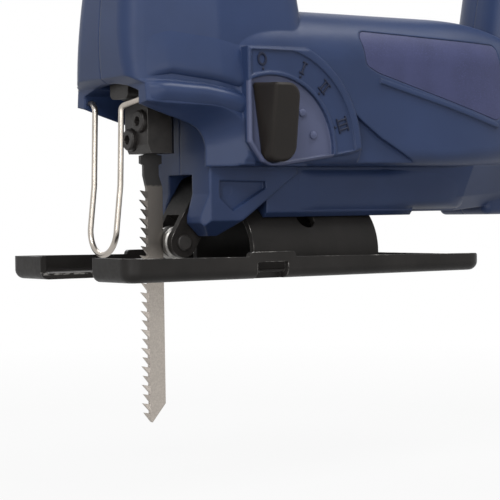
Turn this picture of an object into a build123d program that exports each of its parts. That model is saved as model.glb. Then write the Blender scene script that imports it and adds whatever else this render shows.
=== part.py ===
from build123d import *
from math import sin, cos, radians, degrees, pi, sqrt, atan2
import os

# Millimetres. X runs to the rear of the tool, Y to its right, Z up.
# The origin is where the blade's line crosses the underside of the base plate.
os.makedirs("parts", exist_ok=True)

# Clearances shared by all pieces
free_gap = 0.4
run_fit = 0.05
seat_gap = 0.15
seam_gap = 0.2

# Saw blade
tooth_count = 25
tooth_pitch = 3.0
tooth_depth = 2.4
tooth_set = 0.35
blade_width = 8.3
blade_thickness = 1.25
first_tooth_z = 28.4
blade_point = 0.4
shank_neck_width = 5.6
shank_lug_width = 8.0
shank_lug_height = 3.4
shank_neck_height = 3.4
shank_nub_width = 4.2
shank_nub_length = 11.0

# Stroke and the drive
stroke = 18.0
gear_module = 0.8
pinion_teeth = 9
gear_teeth = 52
gear_width = 8.0
gear_front = 14.0
gear_axle_radius = 4.0
crank_pin_radius = 3.5
motor_axis_z = 56.0

# Blade clamp and plunger
clamp_bottom = 40.2
clamp_height = 16.3
clamp_front = -5.1
clamp_rear = 6.0
clamp_half_width = 7.0
clamp_screw_radius = 2.0
clamp_head_radius = 3.5
clamp_head_height = 3.0
rod_radius = 4.5
bush_wall = 1.5
guide_ring_wall = 3.0
guide_ring_height = 8.6
lower_ring_height = 6.2
trunnion_radius = 2.5
trunnion_length = 5.0
guide_strap_thickness = 2.4
guide_swing = 1.5
yoke_thickness = 4.0
yoke_half_width = 17.0
yoke_wall = 3.0

# Base plate, tilt bracket and its clamp
sheet = 2.0
base_front = -31.8
base_length = 142.2
base_half_width = 38.0
front_corner_radius = 5.0
rear_corner_radius = 6.0
flange_front = 7.5
flange_rear = 5.75
bend_radius = 3.0
throat_half_width = 16.6
throat_end = 14.6
tab_front = 12.4
tab_length = 17.8
tab_top = 8.4
guide_slot_margin = 3.0
guide_slot_top = 5.2
guide_slot_depth = 4.5
tilt_axis_z = 7.0
barrel_radius = 18.0
barrel_front = 28.0
barrel_length = 52.0
tilt_limit = 45.0
base_screw_x = 52.0
base_screw_radius = 3.0
base_head_radius = 5.0
base_head_height = 6.0
saddle_thickness = 3.2
nut_thickness = 3.6
nut_half_side = 6.0

# Guide roller, its fork and the orbit selector
roller_x = 8.7
roller_z = 11.3
roller_radius = 5.4
roller_half_width = 3.4
groove_half_width = 1.1
roller_pin_radius = 1.6
fork_end_radius = 4.9
fork_cheek = 2.2
fork_pivot_x = 19.0
fork_pivot_z = 28.0
fork_pin_radius = 2.2
selector_x = 27.5
selector_z = 40.5
selector_shaft_radius = 3.4
knob_reach = 22.0
knob_foot = 3.2
knob_half = 4.9
knob_lean = 8.0
knob_tip_height = 11.8
knob_foot_height = 6.0
dial_radius = 24.0
dial_depth = 1.4
bezel_rise = 1.4
bezel_radius = 36.2
band_inner = 25.2
band_outer = 33.0
band_depth = 0.6

# Wire guard
wire_radius = 0.95
guard_leg_x = -16.3
guard_foot_x = -17.9
guard_foot_z = 7.9
guard_leg_y = 8.2
guard_eye_x = -12.3
guard_eye_z = 57.0
guard_eye_depth = 2.4

# Motor
stator_radius = 24.4
stator_front = 62.0
stator_length = 40.0
armature_radius = 14.6
air_gap = 0.6
shaft_radius = 4.0
fan_radius = 21.5
fan_width = 9.0
fan_blades = 12
commutator_radius = 10.5
commutator_length = 13.0
bearing_radius = 9.5
bearing_width = 6.0
plate_thickness = 6.0

# Housing
nose_front = -18.4
body_half_width = 29.5
body_floor = 35.6
body_top = 87.5
body_rear = 168.0
wall = 3.0
keel_floor = 19.1
keel_half_width = 16.2
keel_step = 97.0
leg_half_width = 17.4
leg_front = 11.5
foot_z = 13.3
window_half_width = 7.0
window_top = 33.3
skirt_inner = 16.9
hood_roof = 61.4
handle_width = 33.0
handle_height = 34.0
handle_round = 13.0
grip_thickness = 2.0
cord_radius = 4.2
gland_radius = 8.0
gland_length = 17.0
gland_collar = 1.6
gland_z = 53.0

# Switch and its controls
switch_length = 36.0
switch_height = 15.0
trigger_length = 30.0
trigger_half_width = 7.5
trigger_travel = 8.0
button_radius = 5.5
button_proud = 3.4
button_travel = 2.6

# Housing screws
screw_radius = 1.8
screw_head_radius = 3.4
screw_head_height = 2.6
screw_head_y = 8.0
screw_tip_y = -8.5

# Places that follow from the sizes above
blade_half = blade_width / 2
clamp_top = clamp_bottom + clamp_height
gear_axis_z = motor_axis_z + gear_module * (pinion_teeth + gear_teeth) / 2
gear_rear = gear_front + gear_width
yoke_z = gear_axis_z + stroke / 2
yoke_slot_half = crank_pin_radius + 0.4
yoke_half_height = yoke_slot_half + yoke_wall
ring_radius = rod_radius + bush_wall + guide_ring_wall
lower_ring_z = clamp_top + 1.2
upper_ring_z = yoke_z + yoke_half_height + 1.0
trunnion_z = upper_ring_z + guide_ring_height / 2
trunnion_end = ring_radius + trunnion_length
rod_top = upper_ring_z + guide_ring_height + stroke + 1.0
base_rear = base_front + base_length
tab_rear = tab_front + tab_length
barrel_rear = barrel_front + barrel_length
barrel_inner = barrel_radius - sheet
barrel_crown = tilt_axis_z + barrel_radius
shaft_front = gear_front
plate_front = gear_rear + 8.0
plate_rear = plate_front + plate_thickness
fan_front = plate_rear + 3.0
fan_rear = fan_front + fan_width
stator_rear = stator_front + stator_length
commutator_front = stator_rear + 8.0
commutator_rear = commutator_front + commutator_length
rear_bearing_front = commutator_rear + 5.0
shaft_rear = rear_bearing_front + bearing_width


def along_x(face, x0, x1):
    return extrude(Plane.YZ.offset(x0) * face, amount=x1 - x0)


def along_y(face, y0, y1):
    return extrude(Plane.XZ.offset(-y1) * face, amount=y1 - y0)


def along_z(face, z0, z1):
    return extrude(Plane.XY.offset(z0) * face, amount=z1 - z0)


def outline(*points):
    return make_face(Polyline(*points, close=True))


def disc(u, v, radius):
    return Pos(u, v) * Circle(radius)


def box(x0, x1, y0, y1, z0, z1):
    return Pos((x0 + x1) / 2, (y0 + y1) / 2, (z0 + z1) / 2) * Box(x1 - x0, y1 - y0, z1 - z0)


def rod_x(x0, x1, y, z, radius):
    return along_x(disc(y, z, radius), x0, x1)


def rod_y(y0, y1, x, z, radius):
    return along_y(disc(x, z, radius), y0, y1)


def rod_z(z0, z1, x, y, radius):
    return along_z(disc(x, y, radius), z0, z1)


def ring_x(x0, x1, z, outer, inner):
    return along_x(disc(0, z, outer) - disc(0, z, inner), x0, x1)


def mirrored(solid):
    return solid + mirror(solid, about=Plane.XZ)


# Base plate: a tray with flanges up all round and a throat for the blade
def plate_face():
    face = Pos((base_front + base_rear) / 2, 0) * Rectangle(base_length, 2 * base_half_width)
    face = fillet(face.vertices().group_by(Axis.X)[0], front_corner_radius)
    return fillet(face.vertices().group_by(Axis.X)[-1], rear_corner_radius)


tray = along_z(plate_face(), 0, flange_front)
tray = fillet(tray.edges().group_by(Axis.Z)[0], bend_radius)
hollow = along_z(offset(plate_face(), -sheet), sheet, flange_front + 1)
hollow = fillet(hollow.edges().group_by(Axis.Z)[0], bend_radius - sheet)
tray -= hollow
flange_slope = outline(
    (base_front - 1, flange_front),
    (base_rear - 3.2, flange_rear),
    (base_rear - 1.7, flange_rear - 0.5),
    (base_rear - 0.7, flange_rear - 1.3),
    (base_rear + 0.1, flange_rear - 2.5),
    (base_rear + 1, flange_front + 1),
    (base_front - 1, flange_front + 1),
)
tray -= along_y(flange_slope, -base_half_width - 1, base_half_width + 1)
tab_face = outline(
    (tab_front, sheet + bend_radius),
    (tab_rear, sheet + bend_radius),
    (tab_rear, tab_top),
    (tab_front, tab_top),
)
tab_face = fillet(tab_face.vertices().group_by(Axis.Y)[-1], 1.4)
tray += mirrored(along_y(tab_face, -base_half_width, -base_half_width + sheet))
slot_cut = box(
    tab_front + guide_slot_margin,
    tab_rear - guide_slot_margin,
    -base_half_width - 1,
    -base_half_width + guide_slot_depth,
    -1,
    guide_slot_top,
)
tray -= mirrored(fillet(slot_cut.edges().filter_by(Axis.Y), 0.6))
throat = Pos((base_front - 5 + throat_end) / 2, 0) * Rectangle(throat_end - base_front + 5, 2 * throat_half_width)
throat = fillet(throat.vertices().group_by(Axis.X)[-1], 7.0)
tray -= along_z(throat, -1, flange_front + 1)
key_slot = Pos(base_screw_x, 0) * SlotOverall(24, 11)
tray -= along_z(key_slot, -1, sheet + 1)
rivet_spots = [
    (x, y)
    for x in (barrel_front + 7, barrel_rear - 7)
    for y in (-barrel_inner + 5, barrel_inner - 5)
]
for x, y in rivet_spots:
    tray -= rod_z(-1, sheet + 1, x, y, 1.6)
for y in (-24.0, 24.0):
    tray -= along_z(Pos(78, y) * SlotOverall(34, 7), -1, sheet + 1)
base_plate = tray

# Tilt bracket: half barrel with a slot round its crown
half_round = disc(0, tilt_axis_z, barrel_radius) - disc(0, tilt_axis_z, barrel_inner)
half_round &= Pos(0, tilt_axis_z + barrel_radius) * Rectangle(4 * barrel_radius, 2 * barrel_radius)
leg_height = tilt_axis_z - sheet
for side in (-1, 1):
    leg_y = side * (barrel_radius + barrel_inner) / 2
    half_round += Pos(leg_y, sheet + leg_height / 2) * Rectangle(sheet, leg_height)
    half_round += Pos(side * (barrel_radius - 5.2), sheet * 1.5) * Rectangle(10.4, sheet)
bracket = along_x(half_round, barrel_front, barrel_rear)
slot_half = base_screw_radius + free_gap
slot_angle = tilt_limit + 6
sweep_face = disc(0, 0, barrel_radius + 2) - disc(0, 0, barrel_inner - 2)
wedge = outline(
    (0, 0),
    (60 * sin(radians(slot_angle)), 60 * cos(radians(slot_angle))),
    (0, 90),
    (-60 * sin(radians(slot_angle)), 60 * cos(radians(slot_angle))),
)
slot_ring = along_x(Pos(0, tilt_axis_z) * (sweep_face & wedge), base_screw_x - slot_half, base_screw_x + slot_half)
bracket -= slot_ring
for angle in (-slot_angle, slot_angle):
    bore = Pos(base_screw_x, 0, tilt_axis_z) * Rot(angle, 0, 0) * Pos(0, 0, barrel_radius)
    bracket -= bore * Cylinder(slot_half, 2 * sheet + 2)
for x, y in rivet_spots:
    bracket -= rod_z(sheet - 1, 2 * sheet + 1, x, y, 1.6)
tilt_bracket = bracket
rivets = []
for x, y in rivet_spots:
    rivet = rod_z(0.4, 2 * sheet, x, y, 1.6)
    rivet += rod_z(2 * sheet, 2 * sheet + 1.2, x, y, 2.8)
    rivets.append(rivet)
bracket_rivets = Compound(children=rivets)

# Clamp of the base: screw from below, curved saddle inside the barrel, nut plate above
saddle_top = tilt_axis_z + barrel_inner - run_fit
saddle_face = disc(0, tilt_axis_z, barrel_inner - run_fit)
saddle_face &= Pos(0, saddle_top - saddle_thickness) * Rectangle(15, 2 * saddle_thickness)
base_saddle = along_x(saddle_face, base_screw_x - 7, base_screw_x + 7)
saddle_floor = saddle_top - 2 * saddle_thickness
base_saddle -= rod_z(saddle_floor - 1, saddle_top + 1, base_screw_x, 0, base_screw_radius + run_fit)
nut_floor = barrel_crown + free_gap + 1.0
nut_top = nut_floor + nut_thickness
base_screw = rod_z(saddle_floor, nut_top, base_screw_x, 0, base_screw_radius)
base_head = rod_z(saddle_floor - base_head_height, saddle_floor, base_screw_x, 0, base_head_radius)
base_head = chamfer(base_head.edges().group_by(Axis.Z)[0], 0.6)
socket = Plane.XY.offset(saddle_floor - base_head_height) * (Pos(base_screw_x, 0) * RegularPolygon(2.9, 6))
base_screw += base_head
base_screw -= extrude(socket, amount=3.2)
nut_plate = box(
    base_screw_x - nut_half_side,
    base_screw_x + nut_half_side,
    -nut_half_side,
    nut_half_side,
    nut_floor,
    nut_top,
)
nut_plate = chamfer(nut_plate.edges().filter_by(Axis.Z), 1.0)
nut_plate -= rod_z(nut_floor - 1, nut_top + 1, base_screw_x, 0, base_screw_radius)

# Saw blade: shank and body in one outline, teeth set to alternate sides
body_tip_z = first_tooth_z - tooth_pitch * tooth_count
root_x = -blade_half + tooth_depth
lug_floor = clamp_bottom - 0.2 - shank_lug_height
neck_floor = lug_floor - shank_neck_height
nub_top = clamp_bottom - 0.2 + shank_nub_length
blade_face = outline(
    (root_x, first_tooth_z + 0.6),
    (-shank_neck_width / 2, neck_floor),
    (-shank_neck_width / 2, lug_floor),
    (-shank_lug_width / 2, lug_floor + 0.5),
    (-shank_lug_width / 2, clamp_bottom - 0.6),
    (-shank_nub_width / 2, clamp_bottom - 0.2),
    (-shank_nub_width / 2, nub_top - 1),
    (-shank_nub_width / 2 + 1, nub_top),
    (shank_nub_width / 2 - 1, nub_top),
    (shank_nub_width / 2, nub_top - 1),
    (shank_nub_width / 2, clamp_bottom - 0.2),
    (shank_lug_width / 2, clamp_bottom - 0.6),
    (shank_lug_width / 2, lug_floor + 0.5),
    (shank_neck_width / 2, lug_floor),
    (shank_neck_width / 2, neck_floor),
    (blade_half, neck_floor - 4),
    (blade_half, body_tip_z + 5.5),
    (root_x + 0.8, body_tip_z - blade_point),
    (root_x, body_tip_z - blade_point + 0.8),
)
saw_blade = along_y(blade_face, -blade_thickness / 2, blade_thickness / 2)


def set_tooth(z_tip, lean):
    root_high = (root_x + 0.3, z_tip - 0.5)
    root_low = (root_x + 0.3, z_tip - tooth_pitch + 0.1)
    tip = (-blade_half, z_tip)
    half = blade_thickness / 2
    near = [(x, -half, z) for x, z in (root_high, root_low)] + [(tip[0], lean - half * 0.7, tip[1])]
    far = [(x, half, z) for x, z in (root_high, root_low)] + [(tip[0], lean + half * 0.7, tip[1])]
    faces = [Face(Wire.make_polygon([Vector(*p) for p in near]))]
    faces.append(Face(Wire.make_polygon([Vector(*p) for p in reversed(far)])))
    for i in range(3):
        j = (i + 1) % 3
        faces.append(Face(Wire.make_polygon([Vector(*p) for p in (near[i], far[i], far[j], near[j])])))
    return Solid(Shell(faces))


teeth = []
for i in range(tooth_count):
    lean = tooth_set if i % 2 else -tooth_set
    teeth.append(set_tooth(first_tooth_z - tooth_pitch * i, lean))
saw_blade = saw_blade.fuse(*teeth)

# Blade clamp with a slot for the shank, screwed from the front
blade_clamp = box(clamp_front, clamp_rear, -clamp_half_width, clamp_half_width, clamp_bottom, clamp_top)
blade_clamp = chamfer(blade_clamp.edges().filter_by(Axis.Z).group_by(Axis.X)[-1], 2.0)
front_bevel = outline(
    (clamp_front - 1, clamp_bottom - 1),
    (clamp_front + 1.8, clamp_bottom - 1),
    (clamp_front - 1, clamp_bottom + 5),
)
blade_clamp -= along_y(front_bevel, -clamp_half_width - 1, clamp_half_width + 1)
blade_clamp -= box(
    -shank_nub_width / 2 - 0.1,
    shank_nub_width / 2 + 0.1,
    -blade_thickness / 2 - run_fit,
    blade_thickness / 2 + run_fit,
    clamp_bottom - 1,
    nub_top + 0.4,
)
blade_clamp -= rod_z(clamp_top - 2, clamp_top + 1, 0, 0, rod_radius - 1)
clamp_spots = ((-3.1, clamp_bottom + 10.4), (3.3, clamp_bottom + 4.6))
clamp_screws = []
for y, z in clamp_spots:
    blade_clamp -= rod_x(clamp_front - 2, -shank_nub_width / 2, y, z, clamp_screw_radius)
    blade_clamp -= rod_x(clamp_front - 3, clamp_front + 1.4, y, z, clamp_head_radius + 0.2)
    head_rear = clamp_front + 1.4
    screw = rod_x(head_rear, -shank_nub_width / 2 - 0.2, y, z, clamp_screw_radius)
    head = rod_x(head_rear - clamp_head_height, head_rear, y, z, clamp_head_radius)
    head = chamfer(head.edges().group_by(Axis.X)[0], 0.45)
    screw += head
    hexagon = Plane.YZ.offset(head_rear - clamp_head_height) * (Pos(y, z) * RegularPolygon(1.75, 6))
    screw -= extrude(hexagon, amount=1.8)
    clamp_screws.append(screw)
clamp_screws = Compound(children=clamp_screws)

# Plunger: rod and cross yoke
plunger = rod_z(clamp_top, rod_top, 0, 0, rod_radius)
plunger += rod_z(clamp_top - 2, clamp_top, 0, 0, rod_radius - 1)
plunger = chamfer(plunger.edges().group_by(Axis.Z)[-1], 0.8)
yoke_rear = rod_radius + yoke_thickness
yoke_face = RectangleRounded(2 * yoke_half_width, 2 * yoke_half_height, 5.0)
yoke = along_x(Pos(0, yoke_z) * yoke_face, rod_radius - 1.5, yoke_rear)
yoke_slot = SlotOverall(2 * (yoke_half_width - yoke_wall), 2 * yoke_slot_half)
yoke -= along_x(Pos(0, yoke_z) * yoke_slot, rod_radius, yoke_rear + 1)
plunger_rod = plunger + yoke

# Guide frame that swings on two trunnions, with a bush at each end
frame_strap = box(
    -ring_radius - guide_strap_thickness,
    -ring_radius + 1.6,
    -5.5,
    5.5,
    lower_ring_z,
    upper_ring_z + guide_ring_height,
)
guide_frame = fillet(frame_strap.edges().filter_by(Axis.X), 2.0)
guide_rings = ((lower_ring_z, lower_ring_height), (upper_ring_z, guide_ring_height))
for z, height in guide_rings:
    guide_frame += rod_z(z, z + height, 0, 0, ring_radius)
guide_frame += rod_y(-trunnion_end, trunnion_end, 0, trunnion_z, trunnion_radius)
guide_frame -= rod_z(lower_ring_z - 1, rod_top, 0, 0, rod_radius + bush_wall)
plunger_guide = guide_frame
guide_bushes = []
for z, height in guide_rings:
    sleeve = disc(0, 0, rod_radius + bush_wall) - disc(0, 0, rod_radius + run_fit)
    guide_bushes.append(along_z(sleeve, z + 0.3, z + height - 0.3))
guide_bushes = Compound(children=guide_bushes)


# Gears with straight stub teeth
def gear_face(teeth, addendum, dedendum, thickness, flank):
    pitch_radius = gear_module * teeth / 2
    points = []
    for i in range(teeth):
        for rise, side in ((-dedendum, -1), (addendum, -1), (addendum, 1), (-dedendum, 1)):
            radius = pitch_radius + rise
            angle = 2 * pi * i / teeth + side * (thickness / 2 - rise * flank) / radius
            points.append((radius * cos(angle), radius * sin(angle)))
    return outline(*points)


scale = gear_module / 0.9
wheel_face = gear_face(gear_teeth, 0.5 * scale, 1.0 * scale, 0.95 * scale, 0.36)
wheel_face = Pos(0, gear_axis_z) * Rot(0, 0, -90 + 180 / gear_teeth) * wheel_face
drive_gear = along_x(wheel_face, gear_front, gear_rear)
gear_root = gear_module * gear_teeth / 2 - 1.0
drive_gear -= ring_x(gear_front + 5, gear_rear + 1, gear_axis_z, gear_root - 3, gear_axle_radius + 5)
drive_gear += ring_x(gear_rear, gear_rear + 5, gear_axis_z, gear_axle_radius + 5, gear_axle_radius)
bush_radius = gear_axle_radius + 1.5
drive_gear -= rod_x(gear_front - 1, gear_rear + 6, 0, gear_axis_z, bush_radius)
gear_bush = ring_x(gear_front + 0.3, gear_rear + 5, gear_axis_z, bush_radius, gear_axle_radius + run_fit)
crank_radius = stroke / 2
crank_front = yoke_rear + free_gap
pin_spigot = crank_pin_radius - 1
drive_gear -= rod_x(gear_front - 1, gear_front + 4, 0, gear_axis_z + crank_radius, pin_spigot)
crank_pin = rod_x(crank_front, gear_front, 0, gear_axis_z + crank_radius, crank_pin_radius)
crank_pin = chamfer(crank_pin.edges().group_by(Axis.X)[0], 0.5)
crank_pin += rod_x(gear_front, gear_front + 4, 0, gear_axis_z + crank_radius, pin_spigot)
gear_axle = rod_x(gear_front + 0.3, plate_rear, 0, gear_axis_z, gear_axle_radius)
gear_axle = chamfer(gear_axle.edges().group_by(Axis.X)[0], 0.6)

# Bearing plate between gearbox and motor
plate_outer = bearing_radius + 6.5
plate_body = disc(0, motor_axis_z, plate_outer) + disc(0, gear_axis_z, gear_axle_radius + 8)
plate_body += Pos(0, (motor_axis_z + gear_axis_z) / 2) * Rectangle(24, gear_axis_z - motor_axis_z)
plate_ears = Pos(0, motor_axis_z + 12) * RectangleRounded(2 * (stator_radius - 1), 16, 4)
plate_body += plate_ears
plate_floor = selector_z + selector_shaft_radius + free_gap
plate_body -= Pos(0, plate_floor - 20) * Rectangle(60, 40)
plate_holes = disc(0, gear_axis_z, gear_axle_radius) + disc(0, motor_axis_z, shaft_radius + 1)
for side in (-1, 1):
    plate_holes += disc(side * (stator_radius - 5.5), motor_axis_z + 12, 1.8)
gear_plate = along_x(plate_body - plate_holes, plate_front, plate_rear)
gear_plate -= rod_x(plate_front + 1.5, plate_rear + 1, 0, motor_axis_z, bearing_radius)

# Armature
pinion_face = gear_face(pinion_teeth, 0.7 * scale, 0.8 * scale, 1.15 * scale, 0.42)
pinion_face = Pos(0, motor_axis_z) * Rot(0, 0, 90) * pinion_face
armature_shaft = along_x(pinion_face, shaft_front, gear_rear + 1)
armature_shaft += rod_x(gear_rear + 1, plate_front + 1, 0, motor_axis_z, shaft_radius - 0.2)
armature_shaft += rod_x(plate_front + 1, shaft_rear, 0, motor_axis_z, shaft_radius - run_fit)
core_face = disc(0, motor_axis_z, armature_radius)
slot_count = 12
for i in range(slot_count):
    spoke = Rot(0, 0, 360 * i / slot_count) * (Pos(armature_radius - 2.6, 0) * Rectangle(6, 2.4))
    core_face -= Pos(0, motor_axis_z) * spoke
core_face -= disc(0, motor_axis_z, shaft_radius)
armature_core = along_x(core_face, stator_front + 1, stator_rear - 1)


def winding_end(x0, x1):
    ring = ring_x(x0, x1, motor_axis_z, armature_radius - 2.5, shaft_radius + 1.5)
    outer = ring.edges().filter_by(GeomType.CIRCLE).filter_by(lambda e: e.radius > shaft_radius + 2)
    return fillet(outer, 2.2)


coil_front = winding_end(stator_front - 5, stator_front + 1)
coil_rear = winding_end(stator_rear - 1, stator_rear + 5)
armature_coils = Compound(children=[coil_front, coil_rear])
commutator = ring_x(commutator_front, commutator_rear, motor_axis_z, commutator_radius, shaft_radius)
for i in range(24):
    cut = Pos(0, commutator_radius) * Rectangle(0.5, 1.2)
    commutator -= along_x(
        Pos(0, motor_axis_z) * Rot(0, 0, 15 * i) * cut,
        commutator_front - 1,
        commutator_rear + 1,
    )
fan = ring_x(fan_front, fan_front + 1.6, motor_axis_z, fan_radius, shaft_radius)
fan += ring_x(fan_front, fan_rear, motor_axis_z, shaft_radius + 4, shaft_radius)
for i in range(fan_blades):
    vane = Pos(0, (fan_radius + shaft_radius + 4) / 2 - 0.4) * Rectangle(1.4, fan_radius - shaft_radius - 4.4)
    fan += along_x(
        Pos(0, motor_axis_z) * Rot(0, 0, 360 * i / fan_blades) * vane,
        fan_front + 1,
        fan_rear,
    )

# Stator, brushes and bearings
bore_radius = armature_radius + air_gap
stator_face = disc(0, motor_axis_z, stator_radius) - disc(0, motor_axis_z, bore_radius)
pocket_half = stator_radius * 0.45
pocket_top = bore_radius + 4.2
pocket = Rectangle(2 * pocket_half, 9)
for side in (-1, 1):
    stator_face -= Pos(0, motor_axis_z + side * (pocket_top - 4.5)) * pocket
stator_core = along_x(stator_face, stator_front, stator_rear)
coil_bundle = Rectangle(2 * pocket_half - 0.4, 3.0)
field_coils = []
for side in (-1, 1):
    bundle = Pos(0, motor_axis_z + side * (pocket_top - 1.7)) * coil_bundle
    loop = along_x(bundle, stator_front - 6, stator_rear + 6)
    field_coils.append(fillet(loop.edges().filter_by(Axis.Y), 1.0))
field_coils = Compound(children=field_coils)


def ball_bearing(x0):
    ring = ring_x(x0, x0 + bearing_width, motor_axis_z, bearing_radius, shaft_radius)
    groove = disc(0, motor_axis_z, bearing_radius - 1.9) - disc(0, motor_axis_z, shaft_radius + 1.8)
    ring -= along_x(groove, x0 - 1, x0 + 0.8)
    return ring - along_x(groove, x0 + bearing_width - 0.8, x0 + bearing_width + 1)


front_bearing = ball_bearing(plate_front + 1.5)
rear_bearing = ball_bearing(rear_bearing_front)
brush_x = (commutator_front + commutator_rear) / 2
brush_start = commutator_radius + 0.1
brush_holders = []
carbon_brushes = []
for side in (-1, 1):
    tube = box(brush_x - 4.4, brush_x + 4.4, 13.0, 23.0, motor_axis_z - 3.6, motor_axis_z + 3.6)
    tube -= box(brush_x - 3.1, brush_x + 3.1, 12.0, 21.5, motor_axis_z - 2.3, motor_axis_z + 2.3)
    brush = box(brush_x - 3, brush_x + 3, brush_start, 19.5, motor_axis_z - 2.2, motor_axis_z + 2.2)
    if side < 0:
        tube = mirror(tube, about=Plane.XZ)
        brush = mirror(brush, about=Plane.XZ)
    brush_holders.append(tube)
    carbon_brushes.append(brush)
brush_holders = Compound(children=brush_holders)
carbon_brushes = Compound(children=carbon_brushes)

# Guide roller with a groove for the blade's back, and the fork that carries it
groove_radius = roller_x - blade_half - 0.35
roller_profile = outline(
    (0, roller_pin_radius + run_fit),
    (roller_half_width, roller_pin_radius + run_fit),
    (roller_half_width, roller_radius - 0.5),
    (roller_half_width - 0.5, roller_radius),
    (groove_half_width + 0.5, roller_radius),
    (groove_half_width, roller_radius - 0.6),
    (groove_half_width, groove_radius),
    (0, groove_radius),
)
half_roller = revolve(roller_profile, axis=Axis.X)
roller = half_roller + mirror(half_roller, about=Plane.YZ)
guide_roller = Pos(roller_x, 0, roller_z) * Rot(0, 0, 90) * roller
cheek_inner = roller_half_width + free_gap
fork_half = cheek_inner + fork_cheek
roller_pin = rod_y(-fork_half - 0.1, fork_half + 0.1, roller_x, roller_z, roller_pin_radius)
pin_heads = rod_y(fork_half, fork_half + 0.9, roller_x, roller_z, roller_pin_radius + 1.0)
roller_pin += mirrored(fillet(pin_heads.edges().group_by(Axis.Y)[-1], 0.5))
fork_length = sqrt((fork_pivot_x - roller_x) ** 2 + (fork_pivot_z - roller_z) ** 2)
fork_angle = degrees(atan2(fork_pivot_z - roller_z, fork_pivot_x - roller_x))
bar = Pos(fork_length / 2, 0) * SlotCenterToCenter(fork_length, 2 * fork_end_radius)
fork_place = Pos(roller_x, roller_z) * Rot(0, 0, fork_angle)
roller_fork = along_y(fork_place * bar, -fork_half, fork_half)
gap_reach = roller_radius + 2.2
gap_face = Pos(gap_reach / 2 - 3, 0) * Rectangle(gap_reach + 6, 30)
roller_fork -= along_y(fork_place * gap_face, -cheek_inner, cheek_inner)
tail_top = selector_z - selector_shaft_radius - 0.6
tail = outline(
    (fork_pivot_x - 3.4, fork_pivot_z),
    (fork_pivot_x + 3.4, fork_pivot_z),
    (fork_pivot_x + 6.8, tail_top),
    (fork_pivot_x + 2.6, tail_top),
)
roller_fork += along_y(tail, -cheek_inner, cheek_inner)
roller_fork -= rod_y(-fork_half - 1, fork_half + 1, fork_pivot_x, fork_pivot_z, fork_pin_radius + run_fit)
roller_fork -= rod_y(-fork_half - 1, fork_half + 1, roller_x, roller_z, roller_pin_radius)
fork_pin_end = leg_half_width - 2.0
lever_pin = rod_y(-fork_pin_end, fork_pin_end, fork_pivot_x, fork_pivot_z, fork_pin_radius)

# Orbit selector: shaft with a cam flat, and the thumb lever on the dial
bezel_y = -body_half_width - bezel_rise
dial_y = bezel_y + dial_depth
shaft_end = window_half_width + 3.0
selector_shaft = rod_y(dial_y - 4.0, shaft_end, selector_x, selector_z, selector_shaft_radius)
selector_shaft -= box(
    selector_x - 6,
    selector_x + 6,
    -cheek_inner - 0.6,
    cheek_inner + 0.6,
    selector_z - selector_shaft_radius - 1,
    selector_z - selector_shaft_radius + 1.2,
)


def knob_face(shrink):
    half = knob_half - shrink
    tip = knob_reach - shrink
    face = outline(
        (-0.78 * half, 0.0),
        (-0.45 * half, shrink - knob_foot),
        (0.45 * half, shrink - knob_foot),
        (0.78 * half, 0.0),
        (half, tip - 4.0),
        (0.45 * half, tip),
        (-0.8 * half, tip),
        (-half, tip - 1.6),
    )
    return Pos(selector_x, selector_z) * Rot(0, 0, knob_lean) * face


knob_root = Plane.XZ.offset(-dial_y + 0.4) * knob_face(0.0)
knob_crest = Plane.XZ.offset(-dial_y + knob_tip_height + 1) * knob_face(0.9)
knob = loft([knob_root, knob_crest])
knob_top = outline(
    (dial_y - knob_foot_height, selector_z - knob_foot),
    (dial_y - knob_tip_height, selector_z + knob_reach),
    (dial_y - 40, selector_z + knob_reach),
    (dial_y - 40, selector_z - knob_foot),
)
knob -= along_x(knob_top, selector_x - 30, selector_x + 30)
knob = fillet(knob.faces().sort_by(Axis.Y)[0].edges(), 0.9)
selector_knob = knob - rod_y(dial_y - 4.0, dial_y + 1, selector_x, selector_z, selector_shaft_radius)

# Wire guard: one bent wire, its ends sprung into the hood's side walls
guard_side = FilletPolyline(
    (guard_eye_x, -skirt_inner - guard_eye_depth, guard_eye_z),
    (guard_eye_x, -guard_leg_y - 2.0, guard_eye_z),
    (guard_leg_x, -guard_leg_y, guard_eye_z - 5.0),
    (guard_leg_x, -guard_leg_y, 30.0),
    (guard_foot_x, -guard_leg_y, guard_foot_z + guard_leg_y),
    radius=2.0,
)
guard_foot = ThreePointArc(
    (guard_foot_x, -guard_leg_y, guard_foot_z + guard_leg_y),
    (guard_foot_x - 0.4, 0, guard_foot_z),
    (guard_foot_x, guard_leg_y, guard_foot_z + guard_leg_y),
)
guard_far = mirror(guard_side, about=Plane.XZ)
guard_path = Wire(guard_side.edges() + guard_foot.edges() + guard_far.edges())
wire_section = Plane(origin=guard_path @ 0, z_dir=guard_path % 0) * Circle(wire_radius)
wire_guard = sweep(wire_section, path=guard_path)


# Housing: outer shapes
def column_section(z, front, rear, half_front, half_mid, half_rear, radius, grow=0.0):
    face = outline(
        (front, -half_front - grow),
        (gear_front - 3, -half_mid - grow),
        (rear, -half_rear - grow),
        (rear, half_rear + grow),
        (gear_front - 3, half_mid + grow),
        (front, half_front + grow),
    )
    return Plane.XY.offset(z) * fillet(face.vertices(), radius)


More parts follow.
